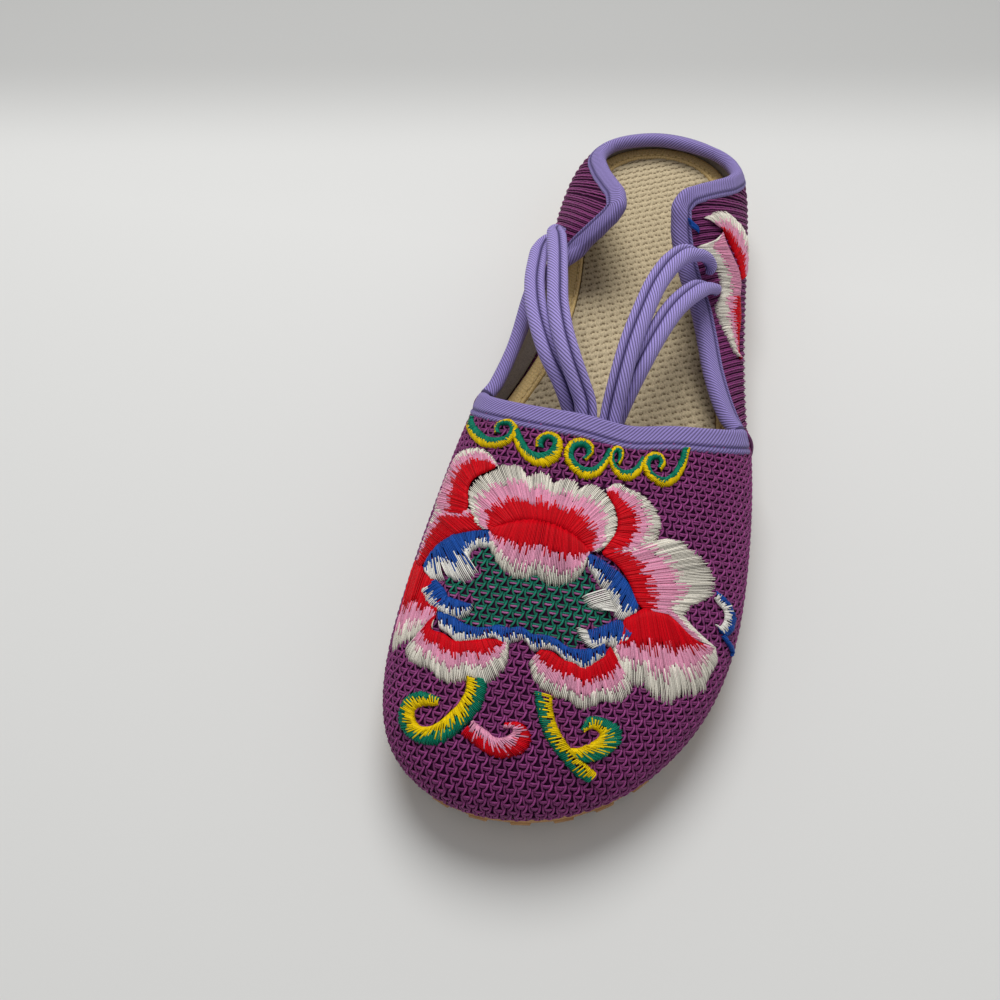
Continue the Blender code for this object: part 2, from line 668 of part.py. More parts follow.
def centre_on_floor():
    """Shift of every piece that puts the origin under the middle of the shoe."""
    corners = np.array([obj.matrix_world @ v.co for obj in bpy.data.objects for v in obj.data.vertices])
    low, high = corners.min(0), corners.max(0)
    shift = np.array([-(low[0] + high[0]) / 2, -(low[1] + high[1]) / 2, -low[2]])
    for obj in bpy.data.objects:
        obj.data.transform(Matrix.Translation(shift))


def main():
    remove_everything()
    purple = finish("purple cloth", (0.19, 0.035, 0.20), 0.85)
    lavender = finish("lavender tape", (0.26, 0.19, 0.53), 0.8)
    beige = finish("beige woven cloth", (0.48, 0.38, 0.25), 0.9)
    tan = finish("tan tape", (0.43, 0.27, 0.09), 0.85)
    rubber = finish("gum rubber", (0.42, 0.23, 0.10), 0.55)
    build_outsole(rubber)
    build_edge_tape(tan)
    build_insole(beige)
    build_upper(purple)
    build_binding("throat_binding", throat_stations(), THROAT_TAPE_WIDTH, lavender)
    build_binding("collar_binding", collar_stations(), COLLAR_TAPE_WIDTH, lavender)
    for name, route in CORDS.items():
        build_cord(name, route, lavender)
    centre_on_floor()


main()
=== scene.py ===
import bpy
import numpy as np
from mathutils import Matrix


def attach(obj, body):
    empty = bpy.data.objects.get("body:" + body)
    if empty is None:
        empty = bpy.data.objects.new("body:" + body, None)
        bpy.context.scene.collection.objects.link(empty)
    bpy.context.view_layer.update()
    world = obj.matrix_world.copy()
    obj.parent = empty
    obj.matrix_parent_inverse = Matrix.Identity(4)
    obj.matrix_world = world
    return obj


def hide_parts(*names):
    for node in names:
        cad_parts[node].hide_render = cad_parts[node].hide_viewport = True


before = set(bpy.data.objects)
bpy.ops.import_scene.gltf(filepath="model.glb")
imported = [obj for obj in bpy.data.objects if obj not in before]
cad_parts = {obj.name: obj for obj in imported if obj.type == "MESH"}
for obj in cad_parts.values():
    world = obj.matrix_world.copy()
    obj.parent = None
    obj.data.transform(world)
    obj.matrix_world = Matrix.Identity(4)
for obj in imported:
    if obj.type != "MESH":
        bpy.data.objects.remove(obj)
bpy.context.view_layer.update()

# All shapes are worked out in millimetres on the shoe's last, +X to the little toe, -Y to the toe.
# toPart moves them into the part's frame, whose origin is under the middle of the shoe.
mm = 0.001
toPart = np.array([-0.626, 1.079, 0.002])
seeded = np.random.default_rng(7)

lastSizes = {
    "wall": 2.0, "tuckRise": 5.5, "archPower": 2.2, "ridgeSkew": 0.10, "toeBox": 15.5, "instepRise": 12.5,
    "toeFullness": 5.0, "throatCentre": -22.0, "throatDip": 14.0, "cornerAngle": 20.0, "wingBend": 1.7,
}

# widest line of the upper from the heel round by the little toe: x, y, tuck in to the sole
outlineRows = np.array([
    (4.0, 121.5, 2.5), (24.0, 115.0, 2.5), (33.0, 101.5, 2.5), (36.0, 84.0, 2.5), (38.0, 50.0, 2.5),
    (41.5, 8.0, 2.5), (44.3, -14.0, 2.5), (45.8, -46.0, 2.5), (40.8, -83.0, 2.5), (29.5, -103.5, 2.5),
    (14.5, -116.7, 2.5), (-6.3, -123.4, 2.5), (-24.0, -121.5, 2.5), (-36.8, -112.5, 2.5), (-43.0, -97.6, 2.5),
    (-44.4, -72.0, 2.5), (-42.0, -39.0, 2.5), (-38.0, -10.0, 3.2), (-31.5, 18.0, 6.5), (-27.0, 52.0, 6.0),
    (-26.0, 86.0, 3.0), (-16.5, 112.5, 2.5),
])

# along the foot: y, height of the sole's upper edge
profileRows = np.array([
    (-124.0, 13.0), (-108.0, 11.4), (-88.0, 10.4), (-50.0, 10.2), (-12.0, 11.2),
    (12.0, 12.2), (32.0, 13.0), (52.0, 13.6), (90.0, 14.2), (122.0, 14.4),
])

# top edge behind the throat: side (1 outside, 0 heel, -1 inside), foot of the wall, x, y, z
toplineRows = np.array([
    (1, 1.0, 35.0, 0.0, 26.5), (1, 14.0, 29.5, 14.0, 26.5), (1, 29.0, 25.2, 29.5, 27.6),
    (1, 37.0, 22.6, 36.5, 29.6), (1, 44.0, 18.2, 44.5, 33.2), (1, 49.0, 15.0, 50.5, 37.6),
    (1, 53.5, 13.2, 55.5, 42.0), (1, 58.0, 12.6, 60.0, 45.8), (1, 63.0, 14.3, 64.8, 46.8),
    (1, 69.0, 18.0, 70.5, 44.4), (1, 77.0, 23.0, 78.0, 40.2), (1, 86.0, 28.4, 86.5, 35.4),
    (1, 94.5, 31.0, 95.0, 31.0), (1, 103.0, 29.4, 102.5, 28.0), (1, 113.0, 22.5, 110.0, 26.4),
    (0, 121.5, 3.6, 115.0, 25.4),
    (-1, 112.0, -14.0, 107.5, 26.4), (-1, 100.0, -16.3, 98.5, 29.3), (-1, 88.0, -13.4, 86.5, 34.0),
    (-1, 77.0, -9.4, 75.0, 39.6), (-1, 68.0, -6.2, 65.5, 44.0), (-1, 62.0, -5.4, 59.5, 45.2),
    (-1, 57.0, -7.2, 55.6, 42.8), (-1, 53.0, -11.2, 53.0, 38.0), (-1, 49.0, -16.6, 50.3, 32.6),
    (-1, 43.5, -25.0, 44.0, 28.9), (-1, 35.0, -30.0, 34.5, 27.4), (-1, 15.0, -31.0, 15.0, 26.6),
    (-1, 1.0, -33.2, 0.0, 26.5),
])


def unit(vectors):
    # each vector divided by its length
    return vectors / np.maximum(np.linalg.norm(vectors, axis=-1, keepdims=True), 1e-9)


def lengthAlong(points):
    # running length along each line of points, from 0 at its start
    steps = np.linalg.norm(np.diff(points, axis=-2), axis=-1)
    return np.concatenate([np.zeros(steps.shape[:-1] + (1,)), np.cumsum(steps, -1)], -1)


def readLine(at, run, line):
    # points of a line at given lengths along it, straight between its samples
    return np.stack([np.interp(at, run, line[:, k]) for k in range(line.shape[1])], -1)


def between(values, rows, columns):
    # value between the four nearest points of a grid, by the shares of row and column
    r = np.clip(np.floor(rows), 0, values.shape[0] - 2).astype(int)
    c = np.clip(np.floor(columns), 0, values.shape[1] - 2).astype(int)
    more = (1,) * (values.ndim - 2)
    down, on = ((place - whole).reshape(place.shape + more) for place, whole in ((rows, r), (columns, c)))
    left = values[r, c] * (1 - down) + values[r + 1, c] * down
    return left * (1 - on) + (values[r, c + 1] * (1 - down) + values[r + 1, c + 1] * down) * on


def cubic(a, b, slopeA, slopeB, h, u):
    # Hermite cubic from a to b over a step h with the slopes at both ends, read at share u of the step
    return (a * (1 + 2 * u) * (1 - u) ** 2 + slopeA * h * u * (1 - u) ** 2
            + b * u * u * (3 - 2 * u) + slopeB * h * u * u * (u - 1))


def alongTable(x, xs, ys):
    # cubic through the rows of a short table, with slopes from the harmonic mean so that it never overshoots
    xs, ys = np.asarray(xs, float), np.asarray(ys, float)
    step, rise = np.diff(xs), np.diff(ys) / np.diff(xs)
    same = rise[:-1] * rise[1:] > 0
    before, after = 2 * step[1:] + step[:-1], step[1:] + 2 * step[:-1]
    first, second = np.where(same, rise[:-1], 1.0), np.where(same, rise[1:], 1.0)
    inner = np.where(same, (before + after) / (before / first + after / second), 0.0)
    slopes = np.concatenate([rise[:1], inner, rise[-1:]])
    x = np.clip(x, xs[0], xs[-1])
    i = np.clip(np.searchsorted(xs, x, side="right") - 1, 0, len(xs) - 2)
    h = xs[i + 1] - xs[i]
    return cubic(ys[i], ys[i + 1], slopes[i], slopes[i + 1], h, (x - xs[i]) / h)


def closedCurve(rows, samples):
    # smooth closed curve through the rows: chord-length knots, slopes from one linear system
    knots = lengthAlong(np.concatenate([rows, rows[:1]]))
    step = np.diff(knots)
    n = len(step)
    before = np.roll(step, 1)
    rise = (np.roll(rows, -1, 0) - rows) / step[:, None]
    lines = np.arange(n)
    matrix = np.zeros((n, n))
    matrix[lines, lines - 1] += step
    matrix[lines, lines] += 2 * (before + step)
    matrix[lines, (lines + 1) % n] += before
    slopes = np.linalg.solve(matrix, 3 * (step[:, None] * np.roll(rise, 1, 0) + before[:, None] * rise))
    at = np.linspace(0, knots[-1], samples)
    i = np.clip(np.searchsorted(knots, at, side="right") - 1, 0, n - 1)
    j, h = (i + 1) % n, step[i][:, None]
    return cubic(rows[i], rows[j], slopes[i], slopes[j], h, (at - knots[i])[:, None] / h)


def openCurve(points, count):
    # smooth open curve through points, read at count places spread evenly along it
    points = np.asarray(points, float)
    knots = lengthAlong(points)
    slopes = np.gradient(points, knots, axis=0)
    at = np.linspace(0, knots[-1], count)
    i = np.clip(np.searchsorted(knots, at, side="right") - 1, 0, len(knots) - 2)
    h = (knots[i + 1] - knots[i])[:, None]
    return cubic(points[i], points[i + 1], slopes[i], slopes[i + 1], h, (at - knots[i])[:, None] / h)


fineOutline = closedCurve(outlineRows, 2880)
roundRun = lengthAlong(fineOutline[:, :2])
roundLength = roundRun[-1]
roundShare = roundRun / roundLength
tipIndex = int(np.argmin(fineOutline[:, 1]))
backIndex = int(np.argmax(fineOutline[:tipIndex, 1]))
endIndex = tipIndex + int(np.argmax(fineOutline[tipIndex:, 1]))


def atSide(side, along):
    # share round the outline of the place at y = along on the outside (1) or the inside (-1); 0 is the heel
    along = np.asarray(along, float)
    out = np.interp(-along, -fineOutline[backIndex:tipIndex, 1], roundShare[backIndex:tipIndex])
    inn = np.interp(along, fineOutline[tipIndex:endIndex + 1, 1], roundShare[tipIndex:endIndex + 1])
    return np.where(np.asarray(side) > 0, out, np.where(np.asarray(side) < 0, inn, 0.0))


def readOutline(t, k):
    # column k of the fine outline at share t round it
    return np.interp(np.asarray(t, float) % 1.0, roundShare, fineOutline[:, k])


def outlineAt(t):
    # place on the widest line and the direction square to it, inward, from a small step to both sides
    step = 2.5e-3
    dx, dy = (readOutline(t + step, k) - readOutline(t - step, k) for k in (0, 1))
    size = np.hypot(dx, dy)
    return np.stack([readOutline(t, 0), readOutline(t, 1)], -1), np.stack([dy / size, -dx / size], -1)


def tuckAt(t):
    # how far the upper turns in from its widest line to the sole
    return readOutline(t, 2)


def soleTop(y):
    # height of the sole's upper edge
    return alongTable(y, profileRows[:, 0], profileRows[:, 1])


def widestHeight(y):
    # height of the widest line: a fixed rise over the sole's edge
    return soleTop(y) + lastSizes["tuckRise"]


def sidesAt(y):
    # x of the widest line on the outside and the inside at y
    out = np.interp(-y, -fineOutline[backIndex:tipIndex + 1, 1], fineOutline[backIndex:tipIndex + 1, 0])
    return out, np.interp(y, fineOutline[tipIndex:endIndex + 1, 1], fineOutline[tipIndex:endIndex + 1, 0])


def ridgeRise(y):
    # the vamp's ridge over the widest line: a toe box that fills quickly, and a straight climb to the throat
    tipY = fineOutline[tipIndex, 1]
    g = np.maximum((y - tipY) / (lastSizes["throatCentre"] - tipY), 0.0)
    full = 1 - (1 - np.minimum(g, 1.0)) ** lastSizes["toeFullness"]
    return lastSizes["toeBox"] * full ** (1 / lastSizes["archPower"]) + lastSizes["instepRise"] * g


sagSizes = {"depth": 3.0, "x": 9.0, "y": -24.0, "acrossReach": 9.0, "alongReach": 13.0}


def sagAt(x, y):
    # soft dip of the throat where the straps pull on it: one bell curve across times one along
    across = (x - sagSizes["x"]) / sagSizes["acrossReach"]
    along = (y - sagSizes["y"]) / sagSizes["alongReach"]
    return sagSizes["depth"] * np.exp(-(across**2) - along**2)


def vampHeight(x, y):
    # superellipse across the foot, its ridge moved to the big-toe side, less the dip
    out, inn = sidesAt(y)
    half = np.maximum((out - inn) / 2, 1e-6)
    across = np.clip((x - (out + inn) / 2) / half, -1, 1)
    across = across + lastSizes["ridgeSkew"] * (1 - across**2)
    p = lastSizes["archPower"]
    arch = np.maximum(1 - np.abs(across) ** p, 0.0) ** (1 / p)
    return widestHeight(y) + ridgeRise(y) * arch - sagAt(x, y) * arch


def acrossAt(swing):
    # share of the half width, and of the ridge's height, at an angle up the arch
    p, skew = lastSizes["archPower"], lastSizes["ridgeSkew"]
    skewed = np.sign(np.cos(swing)) * np.abs(np.cos(swing)) ** (2 / p)
    share = (1 - np.sqrt(np.maximum(1 - 4 * skew * (skewed - skew), 0.0))) / (2 * skew)
    return np.clip(share, -1, 1), np.abs(np.sin(swing)) ** (2 / p)


def throatAt(s):
    # throat's edge from the outside corner (0) to the inside one (1): a parabola over the arch
    corner = np.radians(lastSizes["cornerAngle"])
    swing = corner + s * (np.pi - 2 * corner)
    y = lastSizes["throatCentre"] + lastSizes["throatDip"] * ((swing - np.pi / 2) / (np.pi / 2 - corner)) ** 2
    out, inn = sidesAt(y)
    x = (out + inn) / 2 + acrossAt(swing)[0] * (out - inn) / 2
    return np.stack([x, y, vampHeight(x, y)], -1)


cornerY = lastSizes["throatCentre"] + lastSizes["throatDip"]
cornerT = np.array([float(atSide(1, cornerY)), float(atSide(-1, cornerY))])
edgeT = atSide(toplineRows[:, 0], toplineRows[:, 1])
edgeT = np.where(edgeT < 0.5, edgeT + 1.0, edgeT)
edgeRows = np.column_stack([edgeT, toplineRows[:, 2:]])
edgeEnds = np.column_stack([[cornerT[0] + 1.0, cornerT[1]], throatAt(np.array([0.0, 1.0]))])
edgeRows = np.concatenate([edgeRows, edgeEnds])
edgeRows = edgeRows[np.argsort(edgeRows[:, 0])]


def upperAt(t, v):
    # upper's outer face: v -1 at the sole, 0 on the widest line, 1 at the top edge
    t, v = np.broadcast_arrays(np.asarray(t, float) % 1.0, np.asarray(v, float))
    place, inward = outlineAt(t)
    up = np.clip(v, 0, None)
    # front: straight in plan from the widest line to the throat, on the arch
    s = np.clip((t - cornerT[0]) / (cornerT[1] - cornerT[0]), 0, 1)
    end, share = throatAt(s), up ** lastSizes["archPower"]
    x = place[..., 0] + (end[..., 0] - place[..., 0]) * share
    y = place[..., 1] + (end[..., 1] - place[..., 1]) * share
    front = np.stack([x, y, vampHeight(x, y)], -1)
    # sides and wings: straight up, leaning to the top edge as they rise
    on = np.where(t < cornerT[1], t + 1.0, t)
    ex, ey, ez = (alongTable(on, edgeRows[:, 0], edgeRows[:, k]) for k in (1, 2, 3))
    base, lean = widestHeight(place[..., 1]), np.abs(up) ** lastSizes["wingBend"]
    back = np.stack([place[..., 0] + (ex - place[..., 0]) * lean, place[..., 1] + (ey - place[..., 1]) * lean,
                     base + (ez - base) * up], -1)
    isFront = (t >= cornerT[0]) & (t <= cornerT[1])
    # below: a quarter of an ellipse in to the sole's edge
    turn = np.clip(-v, 0, 1) * np.pi / 2
    inset = tuckAt(t) * (1 - np.cos(turn))
    fall = -lastSizes["tuckRise"] * np.sin(turn)
    curl = np.stack([inward[..., 0] * inset, inward[..., 1] * inset, fall], -1)
    return np.where(isFront[..., None], front, back) + curl


def upperFrame(t, v):
    # point, tangents along and up, and outward normal by small steps
    stepT, stepV = 4e-4, 4e-3
    point = upperAt(t, v)
    along = (upperAt(t + stepT, v) - upperAt(t - stepT, v)) / (2 * stepT)
    rise = (point - upperAt(t, v - stepV)) / stepV
    return point, along, rise, unit(np.cross(rise, along))


def stripFromEdge(t, width, steps):
    # strip that marches in from the top edge, square to it, in small steps on the surface
    t, v = np.array(t, float), np.ones(len(t))
    point, along, rise, normal = upperFrame(t, v)
    square = np.cross(normal, unit(along))
    square *= -np.sign(np.sum(square * rise, -1, keepdims=True))
    points, normals, inward = [point], [normal], square
    for _ in range(steps * 2):
        square = unit(square - normal * np.sum(square * normal, -1, keepdims=True))
        move = square * width / (steps * 2)
        aa, rr, ar = np.sum(along * along, -1), np.sum(rise * rise, -1), np.sum(along * rise, -1)
        sa, sr = np.sum(move * along, -1), np.sum(move * rise, -1)
        det = aa * rr - ar * ar
        t, v = t + (sa * rr - sr * ar) / det, v + (sr * aa - sa * ar) / det
        point, along, rise, normal = upperFrame(t, v)
        points.append(point)
        normals.append(normal)
    return np.stack(points[::2], 1), np.stack(normals[::2], 1), inward


def insetPlan(t, distance):
    # plan of the sole's upper edge, moved in by a distance
    place, inward = outlineAt(t)
    return place + inward * (tuckAt(t) + distance)[..., None]


def evenRound(count):
    # places round the outline with one on the heel and one on the toe's tip
    tip, half = roundShare[tipIndex], count // 2
    return np.concatenate([np.linspace(0, tip, half + 1)[:-1], np.linspace(tip, 1, half + 1)[:-1]])


# Meshes

def linear(code):
    # sRGB hex to linear: c / 12.92 for dark values, ((c + 0.055) / 1.055) ** 2.4 for the rest
    c = np.array([int(code[i:i + 2], 16) / 255 for i in (1, 3, 5)])
    return np.where(c <= 0.04045, c / 12.92, ((c + 0.055) / 1.055) ** 2.4)


def makePiece(name, points, quads, material, uv=None, tint=None, stands=()):
    # one object from points in mm and quads; uv is per corner, tint is per point or one hex colour
    points = points.reshape(-1, 3)
    if isinstance(tint, str):
        tint = np.tile(linear(tint), (len(points), 1))
    mesh = bpy.data.meshes.new(name)
    mesh.vertices.add(len(points))
    mesh.vertices.foreach_set("co", ((points + toPart) * mm).astype(np.float32).ravel())
    mesh.loops.add(quads.size)
    mesh.loops.foreach_set("vertex_index", quads.astype(np.int32).ravel())
    mesh.polygons.add(len(quads))
    mesh.polygons.foreach_set("loop_start", np.arange(0, quads.size, quads.shape[1], dtype=np.int32))
    mesh.polygons.foreach_set("use_smooth", np.ones(len(quads), bool))
    mesh.update(calc_edges=True)
    if uv is not None:
        layer = mesh.uv_layers.new(name="millimetres")
        layer.data.foreach_set("uv", (uv * mm).astype(np.float32).ravel())
    if tint is not None:
        colours = np.concatenate([tint.reshape(-1, 3), np.ones((len(points), 1))], 1)
        layer = mesh.attributes.new("tint", "FLOAT_COLOR", "POINT")
        layer.data.foreach_set("color", colours.astype(np.float32).ravel())
    mesh.materials.append(material)
    mesh.validate()
    piece = bpy.data.objects.new(name, mesh)
    bpy.context.scene.collection.objects.link(piece)
    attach(piece, "root")
    if stands:
        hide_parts(*stands)
    print(name, len(points), "points", len(quads) * (quads.shape[1] - 2), "triangles")
    return piece


def gridQuads(n, m, roundN=False, roundM=False, flip=False):
    # quads of an n by m grid of points, joined end to end where it is round
    i, j = np.meshgrid(np.arange(n if roundN else n - 1), np.arange(m if roundM else m - 1), indexing="ij")
    k, l = (i + 1) % n, (j + 1) % m
    quads = np.stack([i * m + j, k * m + j, k * m + l, i * m + l], -1).reshape(-1, 4)
    return quads[:, ::-1] if flip else quads


def gridUv(u, v):
    # corner coordinates for gridQuads: u and v hold one more value than the points where the grid is round
    i, j = np.meshgrid(np.arange(len(u) - 1), np.arange(len(v) - 1), indexing="ij")
    corners = ((i, j), (i + 1, j), (i + 1, j + 1), (i, j + 1))
    return np.stack([np.stack([u[a], v[b]], -1) for a, b in corners], 2).reshape(-1, 4, 2)


def tubeQuads(paths, samples, sides):
    # quads round every path, and quads across both of its ends
    start = np.arange(paths)[:, None, None] * samples * sides
    k, r = np.arange(samples - 1)[None, :, None] * sides, np.arange(sides)[None, None, :]
    s = (r + 1) % sides
    wall = np.stack([start + k + r, start + k + s, start + k + sides + s, start + k + sides + r], -1)
    c = np.arange(sides // 2 - 1)
    near = start + np.stack([c, sides - 1 - c, sides - 2 - c, c + 1], -1)
    far = start + (samples - 1) * sides + np.stack([c, c + 1, sides - 2 - c, sides - 1 - c], -1)
    return np.concatenate([part.reshape(-1, 4) for part in (wall, near, far)])


def tubePoints(centre, normal, wide, high, sides):
    # ring of points round every sample: wide along the surface, high along its normal
    along = unit(np.gradient(centre, axis=-2))
    side = unit(np.cross(normal, along))
    over = np.cross(along, side)
    turn = ((np.arange(sides) + 0.5) * 2 * np.pi / sides)[:, None]
    wide, high = (np.asarray(size)[..., None, None] for size in (wide, high))
    ring = np.cos(turn) * side[..., None, :] * wide
    return centre[..., None, :] + ring + np.sin(turn) * over[..., None, :] * high


def faceOut(points, quads, centre):
    # turn the quads round if the shell's volume comes out negative
    a, b, c, d = (points[quads[:, k]] - centre for k in range(4))
    volume = np.sum(a * np.cross(b, c)) + np.sum(a * np.cross(c, d))
    return quads if volume > 0 else quads[:, ::-1]


def closedTube(points):
    # quads round a grid of rings and across both of its ends, facing out
    n, m = points.shape[:2]
    c = np.arange(m // 2 - 1)
    near = np.stack([c, c + 1, m - 2 - c, m - 1 - c], -1)
    quads = np.concatenate([gridQuads(n, m, roundM=True), near, (n - 1) * m + near[:, ::-1]])
    return faceOut(points.reshape(-1, 3), quads, points.reshape(-1, 3).mean(0))


# Materials

def addNode(tree, kind, settings=None, links=None):
    # one node: settings go to its properties or its sockets, links come into its sockets
    node = tree.nodes.new(kind)
    for key, value in (settings or {}).items():
        if isinstance(key, str) and hasattr(node, key):
            setattr(node, key, value)
        else:
            node.inputs[key].default_value = value
    for key, source in (links or {}).items():
        tree.links.new(source, node.inputs[key])
    return node


def startMaterial(name):
    # new material, its node tree and its shader
    material = bpy.data.materials.new(name)
    material.use_nodes = True
    return material, material.node_tree, material.node_tree.nodes["Principled BSDF"]


def yarnMaterial(name, fibre, roughness, sheen, bump, specular=0.3):
    # dyed yarn coloured by the tint of each thread, with fibres that break the light along it
    # fibre is their size in mm: real ones are about 0.02 mm, drawn some ten times as coarse to show
    material, tree, shader = startMaterial(name)
    tint = addNode(tree, "ShaderNodeAttribute", {"attribute_name": "tint"})
    where = addNode(tree, "ShaderNodeTexCoord")
    hairs = addNode(tree, "ShaderNodeTexNoise", {"Scale": 1 / (fibre * mm), "Detail": 3.0, "Roughness": 0.6},
                    {"Vector": where.outputs["Object"]})
    shade = addNode(tree, "ShaderNodeMapRange", {1: 0.3, 2: 0.7, 3: 0.74, 4: 1.2}, {0: hairs.outputs["Fac"]})
    colour = addNode(tree, "ShaderNodeMix", {"data_type": "RGBA", "blend_type": "MULTIPLY", 0: 1.0},
                     {6: tint.outputs["Color"], 7: shade.outputs[0]})
    relief = addNode(tree, "ShaderNodeBump", {"Strength": bump, "Distance": 0.05 * mm},
                     {"Height": hairs.outputs["Fac"]})
    tree.links.new(colour.outputs[2], shader.inputs["Base Color"])
    tree.links.new(relief.outputs["Normal"], shader.inputs["Normal"])
    shader.inputs["Roughness"].default_value = roughness
    shader.inputs["Sheen Weight"].default_value = sheen
    shader.inputs["Sheen Roughness"].default_value = 0.4
    shader.inputs["Specular IOR Level"].default_value = specular
    return material


def twillMaterial(name, pitch, turn):
    # slanting ribs of the weave: a sine of the length square to them, on the tape's own millimetres, with
    # painted shade in the valleys between them
    # pitch is from rib to rib in mm; a wave texture of scale 1 repeats every 0.31416
    material, tree, shader = startMaterial(name)
    tint = addNode(tree, "ShaderNodeAttribute", {"attribute_name": "tint"})
    flat = addNode(tree, "ShaderNodeUVMap", {"uv_map": "millimetres"})
    slant = addNode(tree, "ShaderNodeMapping", {"Rotation": (0.0, 0.0, -np.radians(turn))},
                    {"Vector": flat.outputs["UV"]})
    wave = {"bands_direction": "X", "Scale": 0.31416 / (pitch * mm), "Distortion": 0.7, "Detail": 1.0,
            "Detail Scale": 0.8}
    ribs = addNode(tree, "ShaderNodeTexWave", wave, {"Vector": slant.outputs["Vector"]})
    hairs = addNode(tree, "ShaderNodeTexNoise", {"Scale": 1 / (0.3 * mm), "Detail": 3.0},
                    {"Vector": flat.outputs["UV"]})
    # painted shade: the tint darkened down to 0.36 in the valleys between the ribs
    dark = addNode(tree, "ShaderNodeMapRange", {1: 0.05, 2: 0.7, 3: 0.36, 4: 1.0}, {0: ribs.outputs["Fac"]})
    soft = addNode(tree, "ShaderNodeMapRange", {1: 0.3, 2: 0.7, 3: 0.86, 4: 1.14}, {0: hairs.outputs["Fac"]})
    ribbed = addNode(tree, "ShaderNodeMix", {"data_type": "RGBA", "blend_type": "MULTIPLY", 0: 1.0},
                     {6: tint.outputs["Color"], 7: dark.outputs[0]})
    colour = addNode(tree, "ShaderNodeMix", {"data_type": "RGBA", "blend_type": "MULTIPLY", 0: 1.0},
                     {6: ribbed.outputs[2], 7: soft.outputs[0]})
    relief = addNode(tree, "ShaderNodeBump", {"Strength": 0.8, "Distance": 0.14 * mm},
                     {"Height": ribs.outputs["Fac"]})
    fuzz = addNode(tree, "ShaderNodeBump", {"Strength": 0.4, "Distance": 0.05 * mm},
                   {"Height": hairs.outputs["Fac"], "Normal": relief.outputs["Normal"]})
    tree.links.new(colour.outputs[2], shader.inputs["Base Color"])
    tree.links.new(fuzz.outputs["Normal"], shader.inputs["Normal"])
    shader.inputs["Roughness"].default_value = 0.78
    shader.inputs["Sheen Weight"].default_value = 0.06
    shader.inputs["Specular IOR Level"].default_value = 0.22
    return material


def rubberMaterial(name, light, deep):
    # cloudy tone of unfilled gum rubber with a fine moulded grain
    material, tree, shader = startMaterial(name)
    where = addNode(tree, "ShaderNodeTexCoord")
    cloud = addNode(tree, "ShaderNodeTexNoise", {"Scale": 1 / (9 * mm), "Detail": 4.0},
                    {"Vector": where.outputs["Object"]})
    grain = addNode(tree, "ShaderNodeTexNoise", {"Scale": 1 / (0.6 * mm), "Detail": 2.0},
                    {"Vector": where.outputs["Object"]})
    share = addNode(tree, "ShaderNodeMapRange", {1: 0.35, 2: 0.65, 3: 0.0, 4: 1.0}, {0: cloud.outputs["Fac"]})
    tones = {"data_type": "RGBA", 6: (*linear(deep), 1), 7: (*linear(light), 1)}
    colour = addNode(tree, "ShaderNodeMix", tones, {0: share.outputs[0]})
    dull = addNode(tree, "ShaderNodeMapRange", {1: 0.3, 2: 0.7, 3: 0.46, 4: 0.64}, {0: grain.outputs["Fac"]})
    relief = addNode(tree, "ShaderNodeBump", {"Strength": 0.3, "Distance": 0.06 * mm},
                     {"Height": grain.outputs["Fac"]})
    tree.links.new(colour.outputs[2], shader.inputs["Base Color"])
    tree.links.new(dull.outputs[0], shader.inputs["Roughness"])
    tree.links.new(relief.outputs["Normal"], shader.inputs["Normal"])
    return material


# flat dull cloth whose dark purple is painted shade, seen only as the dark between the yarns
baseCloth = yarnMaterial("plain cotton backing, dark purple for painted shade", 0.35, 0.9, 0.0, 0.6, 0.04)
# round uneven yarn: a soft low gloss on each strand and a dye that clouds along it
netYarn = yarnMaterial("slubbed cotton yarn, dyed purple", 0.35, 0.6, 0.02, 0.6, 0.24)
# flat filaments laid side by side: clear even colour, each thread a little lighter or darker
satinYarn = yarnMaterial("rayon embroidery thread, satin stitched", 0.22, 0.5, 0.0, 0.35, 0.1)
# fine slanting ribs with dark lines of painted shade between; the real ones are about 0.62 mm apart, drawn at
# 0.8 mm to show
tapeTwill = twillMaterial("cotton twill bias tape, lavender", 0.8, 45)
# the same twill wound round a cord, so that its ribs run more across; drawn as coarse for the same reason
cordTwill = twillMaterial("cotton twill bias strip rolled over a cord, lavender", 0.8, 60)
# hard twisted thread: a small sharp glint on each stitch
sewingThread = yarnMaterial("polyester sewing thread", 0.2, 0.55, 0.03, 0.3, 0.35)
# dry coarse strands, beige and with no shine; their dark gaps are painted shade in the tint
strawWeave = yarnMaterial("beige basket-woven insole cloth", 0.4, 0.85, 0.03, 0.7, 0.2)
# close plain cloth, grey and dull
liningCloth = yarnMaterial("grey cotton drill lining", 0.45, 0.9, 0.03, 0.6, 0.15)
# soft ribbed tape, golden and nearly matt
tanTape = yarnMaterial("golden cotton edge tape", 0.35, 0.82, 0.03, 0.6, 0.2)
print("materials ready")


# Camera, floor and light

viewSizes = {"focal": 1000.0, "frame": 1000.0, "sensor": 36.0,
             "place": (11.2, -178.3, 265.4), "yaw": -14.24, "pitch": 59.34, "roll": -3.45}


def viewAxes():
    # right, up and forward of the camera from yaw, pitch down and roll
    yaw, pitch, roll = (np.radians(viewSizes[k]) for k in ("yaw", "pitch", "roll"))
    ahead = np.array([np.sin(yaw) * np.cos(pitch), np.cos(yaw) * np.cos(pitch), -np.sin(pitch)])
    right = np.array([np.cos(yaw), -np.sin(yaw), 0.0])
    up = np.cross(right, ahead)
    return right * np.cos(roll) + up * np.sin(roll), -right * np.sin(roll) + up * np.cos(roll), ahead


viewRight, viewUp, viewAhead = viewAxes()
viewPlace = np.array(viewSizes["place"])


